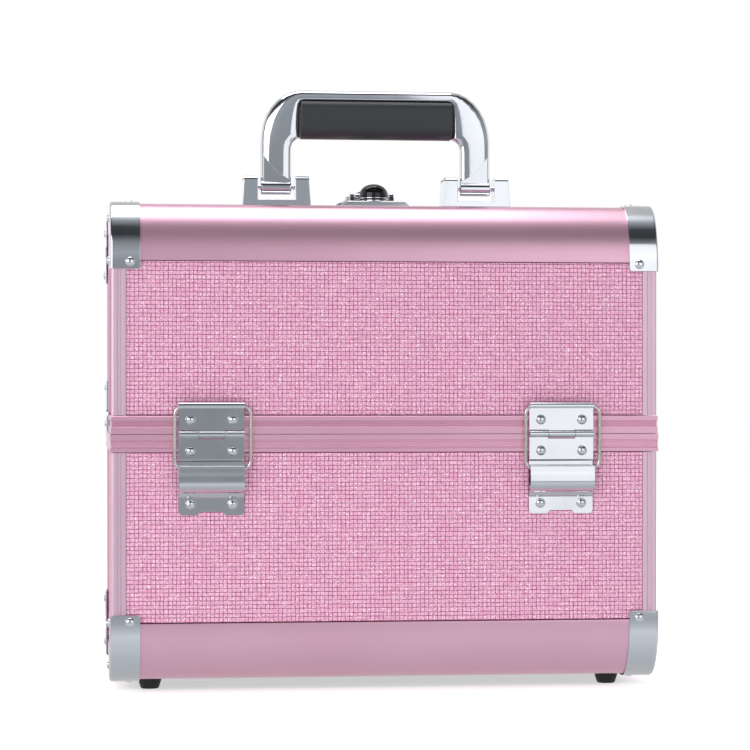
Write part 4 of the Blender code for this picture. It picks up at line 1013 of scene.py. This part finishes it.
def handle_frame():
    """A crowned die casting, the same both ways from its middle, with a flat cut low on each leg."""
    stations = FRAME_STATIONS + [((-o[0], o[1]), (-i[0], i[1])) for o, i in FRAME_STATIONS[-2::-1]]
    rings = []
    for outer, inner in stations:
        ring = []
        for step in range(FRAME_SIDES):
            turn = math.tau * (step + 0.5) / FRAME_SIDES
            out, ahead = math.cos(turn), math.sin(turn)
            # the inner side is squarer than the outer one
            square_x, square_y = (0.4, 0.6) if out < 0 else (0.85, 0.95)
            share = (1 - math.copysign(abs(out) ** square_x, out)) / 2
            x, z = (o + (i - o) * share for o, i in zip(outer, inner))
            y = FRAME_HALF * math.copysign(abs(ahead) ** square_y, ahead)
            ring.append(Vector((x * MM, HANDLE.y + y * MM, TOP + z * MM)))
        rings.append(ring)
    frame_piece = swept("handle_frame_casting", rings)
    for x in (-1, 1):
        for y in (-1, 1):
            near, far = sorted((HANDLE.y + y * 12 * MM, HANDLE.y + y * 2.9 * MM))
            outline = [(x * u * MM, TOP + v * MM) for u, v in CREASE]
            combined(frame_piece, extruded("wedge", "Y", near, far, outline))
    softened(frame_piece, 0.25 * MM, 2, 22)
    barrels = []
    for x in (-1, 1):
        near, far = sorted((x * 51.5 * MM, x * 69.7 * MM))
        barrel = rod("barrel", (HANDLE.y, HANDLE.z), 4.3 * MM, near, far, 40)
        barrels.append(softened(barrel, 0.8 * MM, 3, 50))
    return joined("handle_frame_casting", [frame_piece] + barrels)


def handle_grip():
    """A moulded grip, rounder below than above, with eased ends."""
    low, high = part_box("handle_grip")
    half = (high.y - low.y) / 2
    section = arc((HANDLE.y + half - 8 * MM, low.z + 8 * MM), (8 * MM, 8 * MM), -90, 0, 10)
    section += arc((HANDLE.y + half - 4 * MM, high.z - 5 * MM), (4 * MM, 5 * MM), 0, 90, 8)
    section += [(2 * HANDLE.y - y, z) for y, z in section[::-1]]
    grip = extruded("handle_grip_moulding", "X", low.x, high.x, section)
    return softened(grip, 0.6 * MM, 3, 60)


def bracket(name):
    """A die-cast bracket: two ears on one foot, rounded on top and splayed outwards, with a pin."""
    low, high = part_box("handle_right_bracket")
    centre = (low.x + high.x) / 2
    foot, web, crown = low.z, TOP + 5.6 * MM, high.z
    profile = [(-21 * MM, foot), (21 * MM, foot), (20.7 * MM, TOP + 2 * MM), (19.6 * MM, crown),
               (11.2 * MM, crown), (11.2 * MM, web)]
    profile += [(-x, z) for x, z in profile[:1:-1]]
    body = extruded(name, "Y", low.y, high.y, profile)
    side = [(0, foot - MM), (13 * MM, foot - MM), (13 * MM, TOP + MM), (8.2 * MM, TOP + 2 * MM)]
    side += arc((5 * MM, crown - 2.6 * MM), (2.6 * MM, 2.6 * MM), 0, 90, 8)
    side = [(HANDLE.y + u, v) for u, v in side] + [(HANDLE.y - u, v) for u, v in side[:0:-1]]
    combined(body, extruded("side_view", "X", -30 * MM, 30 * MM, side), "INTERSECT")
    softened(body, 0.6 * MM, 3, 30)
    pin = rod("pin", (HANDLE.y, HANDLE.z), 1.5 * MM, -14 * MM, 14 * MM)
    piece = joined(name, [body, pin])
    piece.data.transform(Matrix.Translation((centre, 0, 0)))
    return piece


def make_handle():
    finish(handle_frame(), "handle", CHROME_CAST, ["handle_frame"], 32)
    finish(handle_grip(), "handle", GRIP_PLASTIC, ["handle_grip"])
    right = bracket("handle_right_bracket_casting")
    finish(mirrored(right, "handle_left_bracket_casting", x=-1), "front_lid", CHROME_CAST,
           ["handle_left_bracket"])
    finish(right, "front_lid", CHROME_CAST, ["handle_right_bracket"])


# --- latch --------------------------------------------------------------------------------
LATCH_SLOPE = 5 * MM


def latch_foot(name, low, high):
    """A low block with sloping ends."""
    outline = [(low.x, low.z), (high.x, low.z), (high.x, TOP + MM), (high.x - LATCH_SLOPE, high.z),
               (low.x + LATCH_SLOPE, high.z), (low.x, TOP + MM)]
    return extruded(name, "Y", low.y, high.y, outline)


def latch_housing():
    """The lower half: a plate with two cheeks, the flap's pin and the knob's seat."""
    low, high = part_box("latch_housing")
    hinge = PIVOT["latch_flap_lift"]
    knob_low, knob_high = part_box("latch_knob")
    crown = TOP + 6 * MM
    housing = latch_foot("latch_housing_casting", low, Vector((high.x, high.y, crown)))
    edit(housing)
    pick_edges(housing, lambda a, b: a.z > crown - GAP and b.z > crown - GAP)
    bpy.ops.mesh.bevel(offset=2.4 * MM, segments=5)
    leave()
    softened(housing, 0.5 * MM, 3, 35)
    parts = [housing]
    for x in (-1, 1):
        near, far = sorted((x * 10.8 * MM, x * 13.6 * MM))
        cheek = arc((hinge.y, hinge.z), (2.8 * MM, 2.8 * MM), 0, 180, 16)
        cheek += [(hinge.y - 4.4 * MM, crown - MM), (hinge.y + 4.4 * MM, crown - MM)]
        parts.append(softened(extruded("cheek", "X", near, far, cheek), 0.5 * MM, 3, 50))
    parts.append(rod("pin", (hinge.y, hinge.z), MM, -11 * MM, 11 * MM))
    profile = ((0, 5.6), (8.5, 5.6), (8.5, 6.5), (7.6, 7.0), (0, 7.0))
    seat = turned("seat", [(radius * MM, height * MM) for radius, height in profile], 40)
    seat.data.transform(Matrix.Translation((0, knob_low.y / 2 + knob_high.y / 2, TOP)))
    return joined("latch_housing_casting", parts + [seat])


def latch_flap():
    """A crowned cover over the split, on a thin plate that turns on the pin."""
    low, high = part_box("latch_flap")
    hinge = PIVOT["latch_flap_lift"]
    under = TOP + 7.5 * MM
    start = hinge.y + 7 * MM
    cover = [(low.x, under), (high.x, under), (high.x, TOP + 9.2 * MM)]
    cover += arc((high.x - 6.2 * MM, TOP + 9.6 * MM), (6.2 * MM, 2.2 * MM), 0, 50, 3) + [(4 * MM, high.z)]
    cover += [(-x, z) for x, z in cover[:1:-1]]
    flap = softened(extruded("latch_flap_casting", "Y", start, high.y, cover), 0.7 * MM, 3, 30)
    half = 10.5 * MM
    plate = block("plate", (-half, hinge.y, under), (half, start + MM, under + 1.4 * MM))
    barrel = rod("barrel", (hinge.y, hinge.z), 2.2 * MM, -half, half, 32)
    return joined("latch_flap_casting", [flap, softened(plate, 0.3 * MM), softened(barrel, 0.3 * MM, 2, 50)])


def make_knob():
    """A polished dome on a neck, with a bright ring let in under it."""
    low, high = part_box("latch_knob")
    radius = (high.x - low.x) / 2
    skirt, rise = 10.0 * MM, high.z - TOP
    dome = arc((0, skirt), (radius * 0.985, rise - skirt), 0, 90, 16)[:-1]
    knob = turned("latch_knob_moulding", [(0, 8.2 * MM), (radius * 0.94, 8.2 * MM), (radius, 8.6 * MM),
                                          (radius, 9.6 * MM)] + dome + [(0, rise)], 48)
    ring = turned("ring", [(0, 7.5 * MM), (radius * 0.95, 7.5 * MM), (radius * 0.985, 7.75 * MM),
                           (radius * 0.985, 8.1 * MM), (radius * 0.93, 8.25 * MM), (0, 8.25 * MM)], 48)
    neck = turned("neck", [(0, 6.6 * MM), (radius * 0.82, 6.6 * MM), (radius * 0.82, 7.6 * MM),
                           (0, 7.6 * MM)], 40)
    for piece in (knob, ring, neck):
        piece.data.transform(Matrix.Translation((0, (low.y + high.y) / 2, TOP)))
    knob = joined("latch_knob_moulding", [knob, neck])
    finish(knob, "latch_knob", KNOB_PLASTIC, ["latch_knob"])
    finish(ring, "latch_knob", CHROME_CAST, ["latch_knob"])


def latch_strike():
    low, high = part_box("latch_strike")
    strike = latch_foot("latch_strike_casting", low, high)
    edit(strike)
    pick_edges(strike, lambda a, b: abs(a.y - b.y) > 10 * MM and a.z > high.z - GAP)
    bpy.ops.mesh.bevel(offset=2 * MM, segments=4)
    leave()
    return softened(strike, 0.6 * MM, 3, 35)


def make_latch():
    finish(latch_housing(), "front_lid", CHROME_CAST, ["latch_housing"], 35)
    finish(latch_flap(), "latch_flap", CHROME_CAST, ["latch_flap"], 35)
    make_knob()
    finish(latch_strike(), "rear_lid", CHROME_CAST, ["latch_strike"], 35)


# --- studio -------------------------------------------------------------------------------
FLOOR_AHEAD = 0.95             # the sheet ends this far in front; past it the room is dim
FLOOR_WIDTH = 14


def make_floor():
    """A matt white sheet under and behind the case."""
    bpy.ops.object.select_all(action="DESELECT")
    bpy.ops.mesh.primitive_plane_add(size=FLOOR_WIDTH)
    floor = bpy.context.object
    floor.name = "studio_floor"
    floor.data.transform(Matrix.Translation((0, FLOOR_WIDTH / 2 - FLOOR_AHEAD, 0)))
    material, tree = new_material("matt_white_paper")
    place = add(tree, "ShaderNodeTexCoord")
    fibre = add(tree, "ShaderNodeTexNoise",
                {"Vector": place.outputs["Object"], "Scale": 700.0, "Detail": 2.0})
    bump = add(tree, "ShaderNodeBump",
               {"Strength": 0.03, "Distance": 0.05 * MM, "Height": fibre.outputs[0]})
    shader = add(tree, "ShaderNodeBsdfPrincipled",
                 {"Base Color": colour("#F6F6F6"), "Roughness": 0.9, "Normal": bump.outputs[0],
                  "Specular IOR Level": 0.1, "Emission Color": colour("#FFFFFF"), "Emission Strength": 0.55})
    add(tree, "ShaderNodeOutputMaterial", {"Surface": shader.outputs[0]})
    floor.data.materials.append(material)
    floor.visible_glossy = False


def make_room():
    """White behind the case and straight above it, a dim grey-blue room in front."""
    world = bpy.data.worlds.new("studio_room")
    bpy.context.scene.world = world
    world.use_nodes = True
    tree = world.node_tree
    tree.nodes.clear()
    place = add(tree, "ShaderNodeTexCoord")
    way = add(tree, "ShaderNodeSeparateXYZ", {0: place.outputs["Generated"]})
    level = add(tree, "ShaderNodeMapRange", {"Value": way.outputs[2], "From Min": -1.0, "From Max": 1.0})
    ahead = add(tree, "ShaderNodeValToRGB", {"Fac": level.outputs[0]})
    back = add(tree, "ShaderNodeValToRGB", {"Fac": level.outputs[0]})
    # brightness by sine of height, from straight down to straight up
    front_stops = ((-1, 0.5), (-0.8, 0.55), (-0.35, 0.7), (-0.17, 0.5), (-0.07, 0.38), (0, 0.27), (0.2, 0.42),
                   (0.42, 0.28), (0.6, 0.04), (0.78, 0.06), (0.9, 0.35), (0.985, 1.0))
    back_stops = ((-1, 0.5), (-0.06, 0.7), (-0.02, 1.0), (0.3, 1.0), (0.6, 0.6), (1, 0.5))
    cool, neutral = (0.94, 1, 1.07), (1, 1, 1)
    for ramp, stops, tint in ((ahead.color_ramp, front_stops, cool), (back.color_ramp, back_stops, neutral)):
        while len(ramp.elements) < len(stops):
            ramp.elements.new(0.5)
        for element, (height, value) in zip(ramp.elements, stops):
            element.position = (height + 1) / 2
            element.color = (value * tint[0], value * tint[1], value * tint[2], 1)
    behind = add(tree, "ShaderNodeMapRange", {"Value": way.outputs[1], "From Min": -0.2, "From Max": 0.05},
                 interpolation_type="SMOOTHSTEP")
    room = add(tree, "ShaderNodeMix",
               {"Factor": behind.outputs[0], 6: ahead.outputs[0], 7: back.outputs[0]}, data_type="RGBA")
    sky = add(tree, "ShaderNodeBackground", {"Color": room.outputs[2], "Strength": 1.0})
    add(tree, "ShaderNodeOutputWorld", {"Surface": sky.outputs[0]})


def area_light(name, place, aim, size, radiance, seen=True):
    """A rectangular softbox, hidden from reflections when it isn't to be seen."""
    lamp = bpy.data.lights.new(name, "AREA")
    lamp.shape = "RECTANGLE"
    lamp.size, lamp.size_y = size
    lamp.energy = radiance * math.pi * size[0] * size[1]
    holder = bpy.data.objects.new(name, lamp)
    holder.matrix_world = towards(place, Vector(place) - Vector(aim))
    holder.visible_glossy = seen
    bpy.context.scene.collection.objects.link(holder)


def make_studio():
    make_floor()
    make_room()
    area_light("right_softbox", (1.45, -2.5, 0.72), (1.45, 0, 0.72), (2.2, 1.6), 0.82)
    area_light("left_softbox", (-1.75, -2.0, 0.85), (0, 0, 0.2), (2.0, 1.5), 2.2)
    area_light("overhead_panel", (-0.45, 0.1, 2.4), (-0.45, 0.1, 0), (1.9, 1.7), 2.6)
    area_light("front_fill", (-0.6, -3.0, 1.6), (0, 0, 0.15), (2.4, 1.6), 1.5, seen=False)
    camera = bpy.data.cameras.new("camera")
    camera.sensor_width = 36
    camera.lens = 126.0
    camera.shift_y = 0.0267
    holder = bpy.data.objects.new("camera", camera)
    holder.location = (-0.1809, -1.6243, 0.1731)
    holder.rotation_euler = (math.radians(90), 0, math.radians(-6.52))
    bpy.context.scene.collection.objects.link(holder)
    bpy.context.scene.camera = holder
    bpy.context.scene.view_settings.view_transform = "Standard"


# --- the whole case -----------------------------------------------------------------------
make_boards()
make_sides()
make_rails()
make_belts()
make_split_plates()
make_caps()
make_feet()
make_hinges()
for end_name in ("front", "rear"):
    make_tray(end_name, "upper")
    make_tray(end_name, "lower")
make_arms()
make_handle()
make_latch()
for pattern in (SMALL_RIVET, CAP_RIVET, LEAF_RIVET):
    bpy.data.objects.remove(pattern)
make_studio()

bpy.context.view_layer.update()
